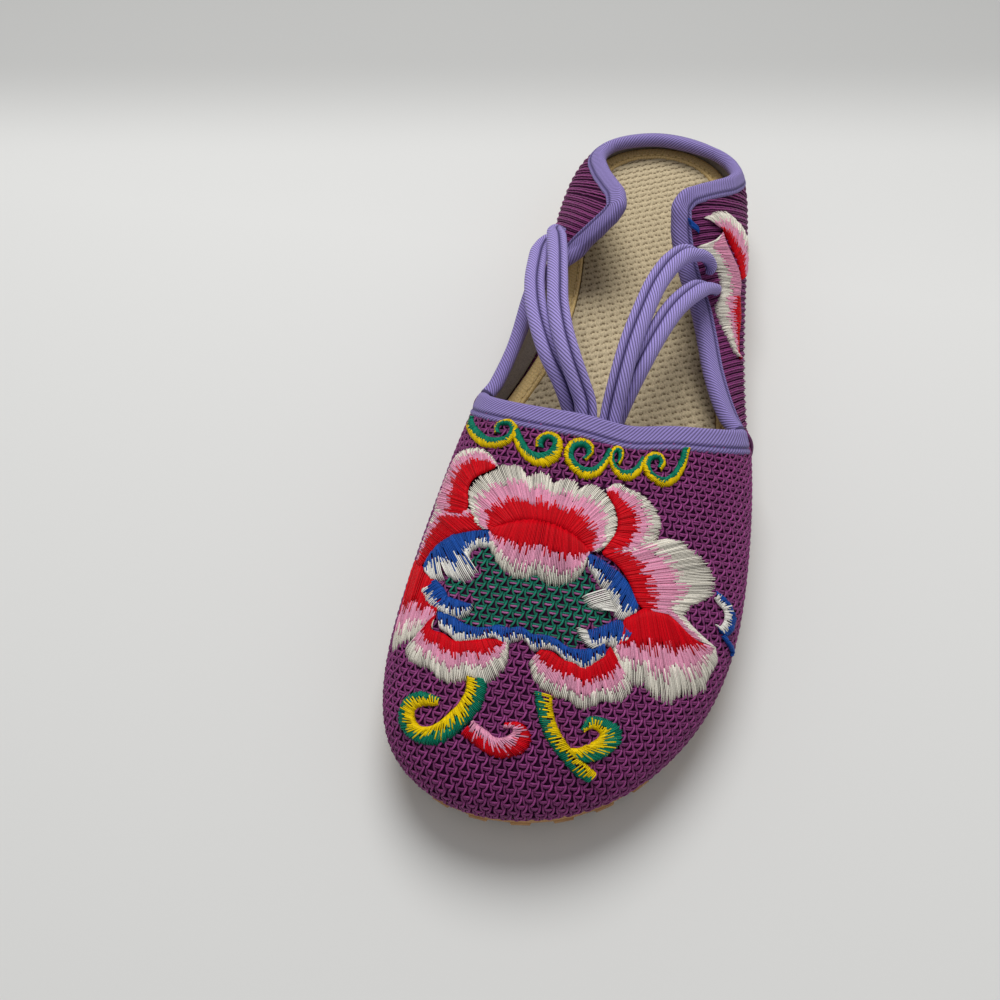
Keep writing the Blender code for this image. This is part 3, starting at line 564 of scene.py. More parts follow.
def makeCamera():
    # lens from the focal length in pixels of the frame
    data = bpy.data.cameras.new("camera")
    data.sensor_width = data.sensor_height = viewSizes["sensor"]
    data.sensor_fit = "AUTO"
    data.lens = viewSizes["sensor"] * viewSizes["focal"] / viewSizes["frame"]
    data.clip_start, data.clip_end = 0.01, 20.0
    camera = bpy.data.objects.new("camera", data)
    matrix = np.eye(4)
    matrix[:3] = np.stack([viewRight, viewUp, -viewAhead, (viewPlace + toPart) * mm], 1)
    camera.matrix_world = Matrix(matrix.tolist())
    bpy.context.scene.collection.objects.link(camera)
    bpy.context.scene.camera = camera


# fall and band are painted shade on the floor: where it starts, where it stops, and the tone it falls to
stageSizes = {
    "floor": "#dddddb", "span": 3.0, "sky": 0.36,
    "fall": (0.08, 0.36, 0.72), "band": (0.133, 0.196, 0.73), "bandTurn": -9.1,
    "key": {"place": (-0.1, 0.5, 0.96), "aim": (0.0, 0.0, 0.0), "size": 0.7, "power": 9.2},
    "fill": {"place": (0.6, -0.7, 0.6), "aim": (0.0, -0.05, 0.0), "size": 0.8, "power": 0.3},
}


def makeStage():
    # pale floor greyed off to the back by painted shade, even sky, a wide soft light above and behind, a weak
    # one in front
    span = stageSizes["span"]
    corners = [(-span, -span, 0), (span, -span, 0), (span, span, 0), (-span, span, 0)]
    mesh = bpy.data.meshes.new("floor")
    mesh.from_pydata(corners, [], [(0, 1, 2, 3)])
    # matt paint, even and without shine, with painted shade that makes it darker where the board is further
    # back
    material, tree, shader = startMaterial("matt board with painted shade to the back")
    where = addNode(tree, "ShaderNodeTexCoord")
    turned = addNode(tree, "ShaderNodeMapping", {"Rotation": (0.0, 0.0, np.radians(stageSizes["bandTurn"]))},
                     {"Vector": where.outputs["Object"]})
    paintedShades = []
    flat, tilted = where.outputs["Object"], turned.outputs["Vector"]
    for source, key, ease in ((flat, "fall", "LINEAR"), (tilted, "band", "SMOOTHSTEP")):
        start, stop, shade = stageSizes[key]
        back = addNode(tree, "ShaderNodeSeparateXYZ", links={0: source})
        ramp = {"interpolation_type": ease, 1: start, 2: stop, 3: 1.0, 4: shade}
        paintedShades.append(addNode(tree, "ShaderNodeMapRange", ramp, {0: back.outputs["Y"]}).outputs[0])
    both = addNode(tree, "ShaderNodeMath", {"operation": "MULTIPLY"}, {0: paintedShades[0], 1: paintedShades[1]})
    paint = {"data_type": "RGBA", "blend_type": "MULTIPLY", 0: 1.0, 6: (*linear(stageSizes["floor"]), 1)}
    tone = addNode(tree, "ShaderNodeMix", paint, {7: both.outputs[0]})
    tree.links.new(tone.outputs[2], shader.inputs["Base Color"])
    shader.inputs["Roughness"].default_value = 0.9
    mesh.materials.append(material)
    floor = bpy.data.objects.new("floor", mesh)
    bpy.context.scene.collection.objects.link(floor)
    world = bpy.data.worlds.new("studio")
    world.use_nodes = True
    sky = world.node_tree.nodes["Background"]
    sky.inputs["Color"].default_value = (1.0, 1.0, 1.0, 1)
    sky.inputs["Strength"].default_value = stageSizes["sky"]
    bpy.context.scene.world = world
    for name in ("key", "fill"):
        light = stageSizes[name]
        data = bpy.data.lights.new(name, "AREA")
        data.shape, data.size, data.energy = "DISK", light["size"], light["power"]
        lamp = bpy.data.objects.new(name, data)
        place = np.array(light["place"])
        back = unit(place - np.array(light["aim"]))
        side = unit(np.cross([0.0, 0.0, 1.0], back))
        matrix = np.eye(4)
        matrix[:3] = np.stack([side, np.cross(back, side), back, place], 1)
        lamp.matrix_world = Matrix(matrix.tolist())
        bpy.context.scene.collection.objects.link(lamp)


bpy.context.scene.view_settings.view_transform = "Standard"  # dyes keep their depth
makeCamera()
makeStage()
print("camera and stage ready")


# Base cloth and lining of the upper: two closed shells, one in the other

# cloth: a dark purple that stands as painted shade in the holes between the yarns; lining: the lining's own
# grey-beige
shellSizes = {"columns": 420, "frontShare": 0.45, "rows": 34, "foot": -0.9, "clothThick": 0.95, "gap": 0.05,
              "cloth": "#33102e", "lining": "#afa495"}


def closedShell(outer, inner):
    # outer and inner grids with the same columns all the way round, joined along the top and the bottom
    n, m, k = outer.shape[0], outer.shape[1], inner.shape[1]
    points = np.concatenate([outer.reshape(-1, 3), inner.reshape(-1, 3)])
    i = np.arange(n)
    j = (i + 1) % n
    top = np.stack([i * m + m - 1, j * m + m - 1, n * m + j * k + k - 1, n * m + i * k + k - 1], -1)
    foot = np.stack([j * m, i * m, n * m + i * k, n * m + j * k], -1)
    quads = [gridQuads(n, m, roundN=True), gridQuads(n, k, roundN=True, flip=True) + n * m, top, foot]
    return points, np.concatenate(quads)


def makeShells():
    # columns from corner to corner of the throat, front then back; the cloth's outer face has the finer rows
    front = int(shellSizes["columns"] * shellSizes["frontShare"])
    t = np.concatenate([np.linspace(cornerT[0], cornerT[1], front + 1)[:-1],
                        np.linspace(cornerT[1], cornerT[0] + 1.0, shellSizes["columns"] - front + 1)[:-1]])
    foot, thick = shellSizes["foot"], shellSizes["clothThick"]
    dense = np.concatenate([np.linspace(foot, 0, 7)[:-1], np.linspace(0, 1, shellSizes["rows"] - 6)])
    sparse = np.array([foot, -0.42, 0.0, 0.1, 0.22, 0.34, 0.5, 0.65, 0.8, 0.9, 1.0])
    outer, _, _, outNormal = upperFrame(t[:, None] + 0 * dense, dense + 0 * t[:, None])
    back, _, _, backNormal = upperFrame(t[:, None] + 0 * sparse, sparse + 0 * t[:, None])
    inside = np.array([0, 0, 20.0])
    points, quads = closedShell(outer, back - thick * backNormal)
    makePiece("upper_cloth", points, faceOut(points, quads, inside), baseCloth,
              tint=shellSizes["cloth"], stands=("upper",))
    liner = back - (thick + shellSizes["gap"]) * backNormal
    points, quads = closedShell(liner, outer - lastSizes["wall"] * outNormal)
    makePiece("upper_lining", points, faceOut(points, quads, inside), liningCloth,
              tint=shellSizes["lining"])


makeShells()


# Vamp: short floats under small holes in brick order, dark with the backing's painted shade, and slanting
# yarns that close over each hole
# Sides: ribs of three yarns side by side, the middle one highest

meshSizes = {
    "cell": 3.3, "row": 2.0, "rowLean": (45, 28), "rowLeanReach": 45.0,
    "rib": 2.6, "lean": 40.0, "leanReach": 45.0,
    "yarn": "#82356f", "leaf": "#0b6b56", "dot": "#a85a92", "loose": 0.4, "ribLoose": 0.14, "slip": 0.65,
    "faceLimit": 0.45, "topClear": 1.2,
}

# yarns of one cell in mm from its middle: u along the row to the big toe, v to the next row, height; shade,
# which is painted light and shade: lighter on the higher yarns, darker on the lower
vampYarns = {
    "floats": (
        {"u": (-1.2, -0.65, 0.0, 0.65, 1.2), "v": (-0.24, -0.5, -0.58, -0.5, -0.24),
         "high": (-0.1, 0.3, 0.4, 0.3, -0.1), "shade": 0.9},
        {"u": (-1.3, -0.7, 0.0, 0.7, 1.3), "v": (0.14, -0.08, -0.14, -0.08, 0.14),
         "high": (-0.1, 0.36, 0.46, 0.36, -0.1), "shade": 1.05}),
    "ties": (
        {"u": (1.25, 0.92, 0.56, 0.4, 0.38), "v": (-0.1, 0.5, 1.05, 1.7, 2.8),
         "high": (0.1, 0.52, 0.6, 0.48, -0.1), "shade": 1.15},
        {"u": (-1.25, -0.92, -0.56, -0.4, -0.38), "v": (-0.1, 0.5, 1.05, 1.7, 2.8),
         "high": (0.05, 0.36, 0.42, 0.36, -0.1), "shade": 0.9}),
}
# the middle, highest yarn of each rib is painted lighter and the outer ones darker
sideYarns = {
    "floats": tuple(
        {"u": (-1.75, -0.9, 0.0, 0.9, 1.75), "v": (v,) * 5, "high": high, "shade": shade}
        for v, high, shade in (
            (-0.56, (0.06, 0.14, 0.16, 0.14, 0.06), 0.86),
            (0.0, (0.34, 0.42, 0.44, 0.42, 0.34), 1.1),
            (0.56, (0.06, 0.14, 0.16, 0.14, 0.06), 0.86))),
}
yarnSizes = {"wide": 0.33, "high": 0.26}


def vampChart():
    # rows where planes that lean back less and less from the toe cut the vamp, at even steps from its middle
    clear = 0.0008
    t = np.linspace(cornerT[0] + clear, cornerT[1] - clear, 460)
    middle = int(np.argmin(np.abs(t - roundShare[tipIndex])))
    aside = np.abs(t - t[middle]) / (t[-1] - t[middle])
    low = np.interp(aside, [0.0, 0.3, 0.6], [-0.62, -0.66, -0.92])  # lower at the sides than at the tip
    under = low[:, None] * np.linspace(1, 0, 18)[:-1]
    v = np.concatenate([under, np.linspace(0, 1.3, 170) + 0 * low[:, None]], 1)
    wall = upperAt(t[:, None] + 0 * v, v)
    ridge = wall[middle]
    arc = lengthAlong(ridge)
    stops = np.arange(0.6, np.interp(1.16, v[middle], arc), meshSizes["row"])
    lean = np.radians(np.interp(stops, [0, meshSizes["rowLeanReach"]], meshSizes["rowLean"]))[:, None, None]
    startY, startZ = (np.interp(stops, arc, ridge[:, k])[:, None, None] for k in (1, 2))
    past = np.cos(lean) * (wall[None, ..., 1] - startY) + np.sin(lean) * (wall[None, ..., 2] - startZ)
    k = np.argmax(past > 0, axis=2)
    valid, k = k > 0, np.maximum(k, 1)
    before, after = (np.take_along_axis(past, (k - step)[..., None], 2)[..., 0] for step in (1, 0))
    column = np.arange(len(t))[None, :]
    below, above = v[column, k - 1], v[column, k]
    height = np.where(valid, below + (above - below) * before / (before - after - 1e-12), low)
    rows = upperAt(t[None, :] + 0 * height, height)
    steps = np.linalg.norm(np.diff(rows, axis=1), axis=-1) * (valid[:, :-1] & valid[:, 1:])
    run = np.concatenate([np.zeros((len(stops), 1)), np.cumsum(steps, 1)], 1)
    run -= run[:, [middle]]
    at = np.arange(-92, 93) * meshSizes["cell"] / 4
    held = [(run[j, valid[j]], rows[j, valid[j]], height[j, valid[j]]) for j in range(len(stops))]
    grid = np.stack([readLine(at, length, line) for length, line, _ in held])
    high = np.stack([np.interp(at, length, level) for length, _, level in held])
    ends = np.stack([length[[0, -1]] for length, _, _ in held])
    return grid, (at > ends[:, :1]) & (at < ends[:, 1:]) & (high < 0.985)


def sideChart():
    # ribs up the side wall: upright at the heel, leaning to the toe more and more on both sides
    clear, below, fine = 0.0006, 5, 0.5
    t = np.linspace(cornerT[1] + clear, cornerT[0] + 1 - clear, 700)
    v = np.linspace(-0.9, 1, 70)
    climb = lengthAlong(upperAt(t[:, None] + 0 * v, v + 0 * t[:, None]))
    along = lengthAlong(upperAt(t, 0.35 + 0 * t))
    start = np.arange(0.6, along[-1], meshSizes["rib"])
    sway = np.clip((start - np.interp(1.0, t, along)) / meshSizes["leanReach"], -1, 1)
    lean = np.radians(meshSizes["lean"]) * sway[:, None]
    at = np.abs(np.arange(-below, 84)) * meshSizes["cell"] / 4
    place, rise = start[:, None] + at * np.sin(lean), at * np.cos(lean)
    heights = np.stack([np.interp(np.arange(0, 60, fine), reach, v) for reach in climb])
    up = between(heights, np.interp(place, along, np.arange(len(t))), rise / fine)
    grid = upperAt(np.interp(place, along, t), up)
    grid[:, :below] = 2 * grid[:, below:below + 1] - grid[:, :below]  # ribs go on into the sole
    top = np.interp(place, along, climb[:, -1]) - meshSizes["topClear"]
    return grid, (rise < top) & (place > 0) & (place < along[-1])


def makeMesh(name, row, loose, grid, inside, yarns, hidden=None, greenInside=None):
    # each yarn's places are read between the four nearest points of the chart, then lifted along its normal
    du, dv = unit(np.gradient(grid, axis=1)), np.gradient(grid, axis=0)
    dv = unit(dv - du * np.sum(du * dv, -1, keepdims=True))
    normal = unit(np.cross(du, dv))
    outward = grid - np.array([0.0, 0.0, 12.0])
    outward[..., 1] -= np.clip(grid[..., 1], -70, 70)  # away from a line along the foot's middle
    normal *= np.where(np.sum(normal * outward, -1, keepdims=True) < 0, -1.0, 1.0)
    j, c = np.meshgrid(np.arange(grid.shape[0]), np.arange(grid.shape[1]), indexing="ij")
    whole = np.all([np.roll(inside, step, 1) for step in (-2, -1, 0, 1, 2)], axis=0)
    if "ties" in yarns:
        whole &= np.roll(inside, -1, 0) & (j < len(grid) - 2)
    brick = (c - 2 * (j % 2)) % 4 == 0
    rows, columns = np.nonzero(whole & brick & (c >= 3) & (c < grid.shape[1] - 3))
    faces = np.sum(normal * unit(viewPlace - grid), -1) > meshSizes["faceLimit"]
    if hidden is not None:
        cell = grid[rows[:, None], columns[:, None] + np.array([-2, 0, 2])]
        covered = hidden(cell).all(1) & faces[rows, columns]
        rows, columns = rows[~covered], columns[~covered]
    green = np.zeros(len(rows), bool) if greenInside is None else greenInside(grid[rows, columns])
    green &= faces[rows, columns]
    for kind, paths in yarns.items():
        places, normals, tints = [], [], []
        for yarn in paths:
            samples = len(yarn["u"])
            slip = (seeded.random((2, len(rows), 1)) - 0.5) * meshSizes["slip"] * loose
            across = rows[:, None] + (np.array(yarn["v"]) + slip[0]) / row
            along = columns[:, None] + (np.array(yarn["u"]) + slip[1]) / (meshSizes["cell"] / 4)
            up = unit(between(normal, across, along))
            places.append(between(grid, across, along) + up * np.array(yarn["high"])[None, :, None])
            normals.append(up)
            dye = "dot" if yarn is paths[0] and kind == "floats" else "leaf"
            # painted light and shade: the dye scaled by each yarn's shade, lighter where the yarn lies higher
            tone = np.where(green[:, None], linear(meshSizes[dye]), linear(meshSizes["yarn"])) * yarn["shade"]
            uneven = 1 + loose * (seeded.random((len(rows), 1, 1)) - 0.5)
            tints.append(np.repeat(tone[:, None] * uneven, samples, 1))
        place, up, tint = (np.concatenate(parts) for parts in (places, normals, tints))
        sides = 4
        points = tubePoints(place, up, yarnSizes["wide"], yarnSizes["high"], sides)
        makePiece(name + "_" + kind, points, tubeQuads(len(place), samples, sides), netYarn,
                  tint=np.repeat(tint[:, :, None], sides, 2))


seamSizes = {"half": 1.5, "proud": 0.95, "cloth": "#6b2a62", "stitch": "#7d3a78", "pitch": 2.6, "samples": 60,
             "from": 1.5, "topClear": 6.0, "stitchHalf": 0.85, "stitchThick": 0.2, "stitchHump": 0.28}


def makeSideSeams():
    # folded strip up the wall over the join of vamp and sides, at both throat corners, and its stitches
    across = np.array([-1.0, -0.86, -0.4, 0.0, 0.4, 0.86, 1.0]) * seamSizes["half"]
    high = np.array([-0.1, 0.8, 1.0, 0.86, 1.0, 0.8, -0.1]) * seamSizes["proud"]
    count, thick = seamSizes["samples"], seamSizes["stitchThick"]
    f = np.linspace(-1, 1, 5)
    lift = (seamSizes["proud"] * 0.8 + seamSizes["stitchHump"] * (1 - f**2))[None, :, None]
    for name, t in (("outside", cornerT[0]), ("inside", cornerT[1])):
        point, _, rise, normal = upperFrame(np.full(count, t), np.linspace(-0.88, 0.97, count))
        side = unit(np.cross(rise, normal))
        strip = point[:, None] + side[:, None] * across[None, :, None] + normal[:, None] * high[None, :, None]
        makePiece("side_seam_" + name, strip, closedTube(strip), netYarn,
                  tint=seamSizes["cloth"])
        run = lengthAlong(point)
        start = np.arange(seamSizes["from"], run[-1] - seamSizes["topClear"], seamSizes["pitch"])
        at = start[:, None] + seamSizes["stitchHalf"] * f
        over = readLine(at, run, normal)
        rings = tubePoints(readLine(at, run, point) + over * lift, over, thick, thick, 4)
        quads = tubeQuads(len(start), len(f), 4)
        makePiece("side_seam_stitches_" + name, rings, quads, sewingThread,
                  tint=seamSizes["stitch"])


def seenAt(points):
    # place of a point in the frame, in pixels from its upper left corner
    q = points - viewPlace
    depth = q @ viewAhead
    f, half = viewSizes["focal"], viewSizes["frame"] / 2
    return np.stack([half + f * (q @ viewRight) / depth, half - f * (q @ viewUp) / depth], -1)


# open-worked middle of the flower, charted in the frame of the view
flowerMiddle = np.array([
    (470, 562), (480, 552), (490, 549), (497, 563), (505, 573), (516, 579), (527, 580), (535, 577),
    (545, 584), (556, 587), (570, 585), (580, 579), (588, 570), (597, 588), (604, 596), (584, 598),
    (590, 608), (604, 612), (612, 620), (600, 627), (584, 631), (577, 632), (584, 647), (575, 655),
    (566, 652), (552, 644), (535, 642), (522, 634), (510, 636), (498, 632), (480, 635), (464, 629),
    (454, 620), (472, 612), (472, 605), (455, 600), (446, 590), (446, 582), (466, 584), (479, 577),
    (470, 566),
], float)


def withinShape(seen, shape):
    # even-odd test: count the polygon's edges to the right of each place in the frame
    x, y = seen[..., 0], seen[..., 1]
    inside = np.zeros(x.shape, bool)
    for (x0, y0), (x1, y1) in zip(shape, np.roll(shape, -1, 0)):
        crosses = (y0 > y) != (y1 > y)
        inside ^= crosses & (x < (x1 - x0) * (y - y0) / (y1 - y0 + 1e-9) + x0)
    return inside


def inFlowerMiddle(points):
    # true where the cloth shows green in the middle of the flower
    return withinShape(seenAt(points), flowerMiddle)


def underPetals(points):
    # true where a petal's stitches cover the cloth fully
    seen = seenAt(points)
    shapes = [np.array(petal["root"] + petal["tip"][::-1], float) for petal in petals]
    return np.any([withinShape(seen, shape) for shape in shapes], axis=0)


# Embroidery: each field is ruled with threads from a root line to a tip line, charted in the frame
# Real threads are finer and closer; at 0.45 mm apart each one shows in the render

threadColours = {"red": "#d00216", "pink": "#e79dba", "cream": "#ece6d8", "blue": "#1c4fa3",
                 "white": "#efece4", "green": "#0b7d62", "yellow": "#ecca00"}
stitchSizes = {"pitch": 0.45, "wide": 0.245, "high": 0.2, "lift": 0.3, "pad": 0.95, "samples": 6,
               "thin": 0.55, "fine": 160, "ragged": 0.07, "faceLimit": 0.27, "lowLimit": 0.12, "pulls": 26,
               "pullStep": 1.2}
flowerCentre = np.array([540.0, 600.0])


def bands(*parts):
    # dyes with the shares between them, from 0 on the root line to 1 on the tip line
    cuts = (0, *parts[1::2], 1)
    return tuple(zip(parts[::2], cuts[:-1], cuts[1:]))


petals = [
    {"tones": bands("red", 0.52, "pink", 0.78, "cream"), "level": 0.0,
     "root": [(468, 516), (470, 505), (470, 492), (473, 484), (481, 477), (490, 473), (496, 470)],
     "tip": [(436, 513), (434, 500), (437, 486), (443, 473), (452, 460), (466, 451), (480, 449), (492, 456),
             (499, 467)]},
    {"tones": bands("red", 0.6, "pink", 0.82, "cream"), "level": -0.05,
     "root": [(494, 531), (472, 533), (453, 538), (441, 546), (432, 558), (424, 568)],
     "tip": [(468, 509), (450, 510), (436, 511), (430, 525), (424, 545), (420, 560)]},
    {"tones": bands("red", 0.5, "pink", 0.76, "cream"), "level": 0.0,
     "root": [(419, 562), (427, 570), (437, 582), (443, 600)],
     "tip": [(395, 650), (404, 645), (418, 638), (433, 630)]},
    {"tones": bands("red", 0.38, "pink", 0.68, "cream"), "level": 0.35,
     "root": [(493, 532), (499, 529), (508, 526), (520, 523), (533, 523), (546, 525), (560, 530), (572, 537),
              (582, 546), (588, 553)],
     "tip": [(484, 531), (475, 524), (471, 512), (469, 500), (470, 490), (475, 482), (484, 476), (495, 470),
             (503, 466), (513, 466), (522, 469), (528, 477), (534, 474), (543, 473), (550, 477), (554, 485),
             (561, 480), (569, 479), (576, 483), (580, 490), (587, 486), (597, 487), (605, 492), (611, 499),
             (616, 509), (618, 520), (617, 531), (613, 540), (606, 548), (598, 553)]},
    {"tones": bands("red", 0.5, "pink", 0.78, "cream"), "level": 0.4,
     "root": [(494, 530), (505, 526), (520, 522), (540, 522), (560, 528), (576, 538), (588, 551)],
     "tip": [(490, 537), (491, 549), (497, 562), (505, 572), (516, 579), (527, 580), (535, 577), (543, 583),
             (556, 587), (568, 585), (578, 579), (585, 567), (589, 557)]},
    {"tones": bands("red", 0.43, "pink", 0.7, "cream"), "level": 0.0,
     "root": [(607, 497), (613, 507), (617, 520), (616, 532), (611, 541), (604, 549)],
     "tip": [(606, 490), (617, 484), (628, 489), (640, 495), (650, 503), (657, 513), (660, 525), (658, 538),
             (650, 548), (640, 556), (622, 552)]},
    {"tones": bands("red", 0.24, "pink", 0.58, "cream"), "level": -0.05,
     "root": [(606, 549), (602, 554), (613, 563), (624, 576), (631, 590), (635, 602), (642, 610)],
     "tip": [(648, 549), (664, 540), (680, 541), (694, 552), (706, 565), (713, 580), (712, 595), (700, 602),
             (690, 608), (684, 618)]},
    {"tones": bands("pink", 0.42, "cream"), "level": -0.05,
     "root": [(660, 610), (676, 624), (688, 638)],
     "tip": [(682, 615), (696, 632), (714, 648)]},
    {"tones": bands("red", 0.42, "pink", 0.68, "cream"), "level": 0.15,
     "root": [(691, 642), (680, 629), (668, 617), (656, 610), (645, 609), (634, 614), (624, 620), (622, 630),
              (622, 642)],
     "tip": [(714, 649), (716, 662), (709, 676), (703, 690), (690, 696), (680, 696), (668, 703), (654, 698),
             (644, 688), (632, 686), (622, 678), (614, 664), (612, 650)]},
    {"tones": bands("red", 0.38, "pink", 0.7, "cream"), "level": 0.2,
     "root": [(541, 651), (552, 653), (562, 660), (572, 663), (582, 668), (590, 665), (600, 660), (609, 648)],
     "tip": [(529, 664), (533, 678), (540, 688), (549, 695), (558, 698), (566, 700), (575, 707), (585, 710),
             (595, 706), (603, 701), (613, 703), (623, 701), (631, 690)]},
    {"tones": bands("red", 0.34, "pink", 0.62, "cream"), "level": 0.2,
     "root": [(438, 617), (433, 630), (445, 635), (456, 642), (470, 642), (486, 640), (504, 642)],
     "tip": [(407, 652), (411, 662), (422, 668), (432, 671), (440, 681), (455, 684), (470, 680), (485, 684),
             (497, 678), (507, 664), (509, 647)]},
]
leaves = [
    {"tones": bands("blue", 0.66, "white"), "level": 0.25,
     "root": [(495, 531), (480, 532), (466, 534), (454, 537)],
     "tip": [(490, 549), (483, 548), (472, 553), (470, 562)]},
    {"tones": bands("blue", 0.54, "white"), "level": 0.3,
     "root": [(456, 536), (446, 541), (438, 548)],
     "tip": [(479, 574), (466, 583), (450, 579)]},
    {"tones": bands("blue", 0.42, "white"), "level": 0.32,
     "root": [(440, 546), (432, 556), (428, 567)],
     "tip": [(445, 580), (437, 584), (429, 575)]},
    {"tones": bands("blue", 0.62, "white"), "level": 0.25,
     "root": [(439, 582), (447, 592), (451, 604)],
     "tip": [(423, 594), (428, 605), (440, 613)]},
    {"tones": bands("blue", 0.56, "white"), "level": 0.3,
     "root": [(446, 597), (455, 600), (464, 603), (472, 606)],
     "tip": [(442, 614), (450, 618), (459, 620), (468, 617), (474, 608)]},
    {"tones": bands("blue", 0.6, "white"), "level": 0.25,
     "root": [(441, 613), (452, 616), (462, 623), (475, 628), (490, 628), (498, 626), (510, 629), (522, 628),
              (532, 635), (545, 636), (556, 640), (566, 647), (577, 650), (590, 649), (603, 644)],
     "tip": [(442, 630), (450, 636), (458, 644), (470, 643), (483, 642), (495, 639), (505, 647), (514, 643),
             (524, 641), (534, 652), (546, 650), (556, 653), (566, 663), (576, 667), (583, 672), (594, 665),
             (604, 658)]},
    {"tones": bands("blue", 0.6, "white"), "level": 0.3,
     "root": [(588, 554), (600, 560), (610, 567), (620, 575)],
     "tip": [(588, 569), (594, 579), (600, 589), (607, 595)]},
    {"tones": bands("blue", 0.64, "white"), "level": 0.32,
     "root": [(618, 573), (627, 584), (632, 594), (636, 605)],
     "tip": [(604, 592), (610, 606), (618, 621), (634, 615)]},
    {"tones": bands("white"), "level": 0.25,
     "root": [(607, 590), (613, 602), (616, 613)],
     "tip": [(582, 598), (586, 606), (600, 611)]},
    {"tones": bands("blue", 0.62, "white"), "level": 0.3,
     "root": [(584, 632), (596, 629), (606, 625), (618, 621), (630, 633)],
     "tip": [(588, 646), (596, 650), (604, 646), (614, 649), (624, 643)]},
    {"tones": bands("white"), "level": 0.35,
     "root": [(587, 632), (592, 640), (598, 646)],
     "tip": [(576, 629), (579, 638), (590, 650)]},
    {"tones": bands("white", 0.48, "blue"), "level": 0.0,
     "root": [(712, 599), (716, 605), (721, 611), (722, 618), (720, 624), (717, 627), (713, 625)],
     "tip": [(715, 592), (724, 599), (731, 610), (733, 622), (730, 632), (724, 637), (718, 632)]},
    {"tones": bands("blue"), "level": 0.0,
     "root": [(719, 637), (725, 646), (730, 656)],
     "tip": [(722, 635), (728, 644), (733, 655)]},
]
scrolls = [
    {"tones": bands("green", 0.55, "yellow"), "level": 0.0,
     "root": [(474, 414), (476, 424), (482, 432), (490, 438), (499, 439), (507, 437), (511, 431), (510, 427),
              (506, 426), (502, 427), (500, 431), (501, 434)],
     "tip": [(470, 414), (469, 429), (474, 440), (483, 447), (495, 449), (508, 446), (516, 438), (518, 427),
             (512, 421), (504, 422), (497, 427), (496, 434)]},
    {"tones": bands("green", 0.55, "yellow"), "level": 0.05,
     "root": [(520, 430), (525, 442), (531, 451), (539, 454), (546, 453), (552, 448), (553, 443), (551, 441),
              (548, 440), (545, 442), (543, 445), (544, 449)],
     "tip": [(513, 437), (518, 450), (526, 461), (537, 467), (549, 467), (558, 461), (563, 450), (562, 440),
             (555, 434), (545, 434), (537, 439), (536, 448)]},
    {"tones": bands("green", 0.55, "yellow"), "level": 0.05,
     "root": [(582, 459), (586, 456), (586, 451), (583, 448), (579, 448), (575, 450), (573, 455), (575, 461),
              (581, 467), (588, 469), (595, 467), (601, 461), (607, 450)],
     "tip": [(586, 462), (592, 456), (593, 447), (587, 441), (578, 439), (569, 443), (564, 452), (566, 464),
             (573, 473), (584, 480), (596, 478), (605, 469), (612, 456)]},
    {"tones": bands("green", 0.55, "yellow"), "level": 0.0,
     "root": [(616, 464), (618, 458), (617, 454), (615, 453), (613, 456), (613, 462), (617, 469), (624, 472),
              (632, 470), (638, 464), (642, 458)],
     "tip": [(619, 467), (623, 458), (622, 450), (616, 447), (610, 451), (608, 461), (611, 471), (618, 479),
             (628, 482), (639, 476), (645, 463)]},
    {"tones": bands("green", 0.55, "yellow"), "level": 0.05,
     "root": [(657, 468), (659, 464), (657, 460), (653, 461), (650, 465), (651, 472), (656, 477), (664, 479),
              (670, 475), (676, 466), (680, 457), (682, 450)],
     "tip": [(661, 472), (665, 465), (662, 456), (654, 453), (646, 457), (642, 466), (645, 476), (652, 483),
             (663, 488), (674, 484), (682, 473), (689, 450)]},
    {"tones": bands("yellow", 0.52, "green"), "level": 0.1, "jag": 0.56,
     "root": [(467, 677), (466, 690), (460, 702), (449, 714), (440, 722), (430, 727), (421, 726), (416, 720),
              (416, 713), (420, 708), (427, 706), (434, 706), (439, 706)],
     "tip": [(487, 681), (486, 695), (480, 710), (468, 725), (452, 738), (437, 745), (422, 744), (409, 737),
             (401, 724), (401, 709), (407, 698), (419, 692), (441, 698)]},
    {"tones": bands("yellow", 0.52, "green"), "level": 0.1, "jag": 0.56,
     "root": [(552, 697), (553, 712), (558, 728), (566, 742), (574, 752), (584, 762), (595, 772)],
     "tip": [(534, 692), (537, 712), (541, 728), (549, 744), (560, 758), (572, 772), (586, 781)]},
    {"tones": bands("yellow", 0.45, "green"), "level": 0.05, "jag": 0.56,
     "root": [(566, 748), (578, 748), (588, 744), (596, 739), (599, 734), (597, 731), (594, 729), (590, 729),
              (587, 730), (584, 732)],
     "tip": [(574, 758), (585, 762), (597, 760), (611, 752), (621, 740), (620, 728), (610, 721), (600, 717),
             (588, 717), (581, 729)]},
    {"tones": bands("pink", 0.46, "red"), "level": 0.1, "jag": 0.56,
     "root": [(474, 721), (480, 726), (487, 731), (494, 737), (500, 738), (506, 737), (511, 734), (513, 731),
              (512, 728), (508, 728), (504, 728)],
     "tip": [(462, 735), (470, 741), (480, 749), (490, 755), (503, 758), (516, 756), (526, 750), (531, 741),
             (529, 731), (520, 723), (506, 723)]},
]
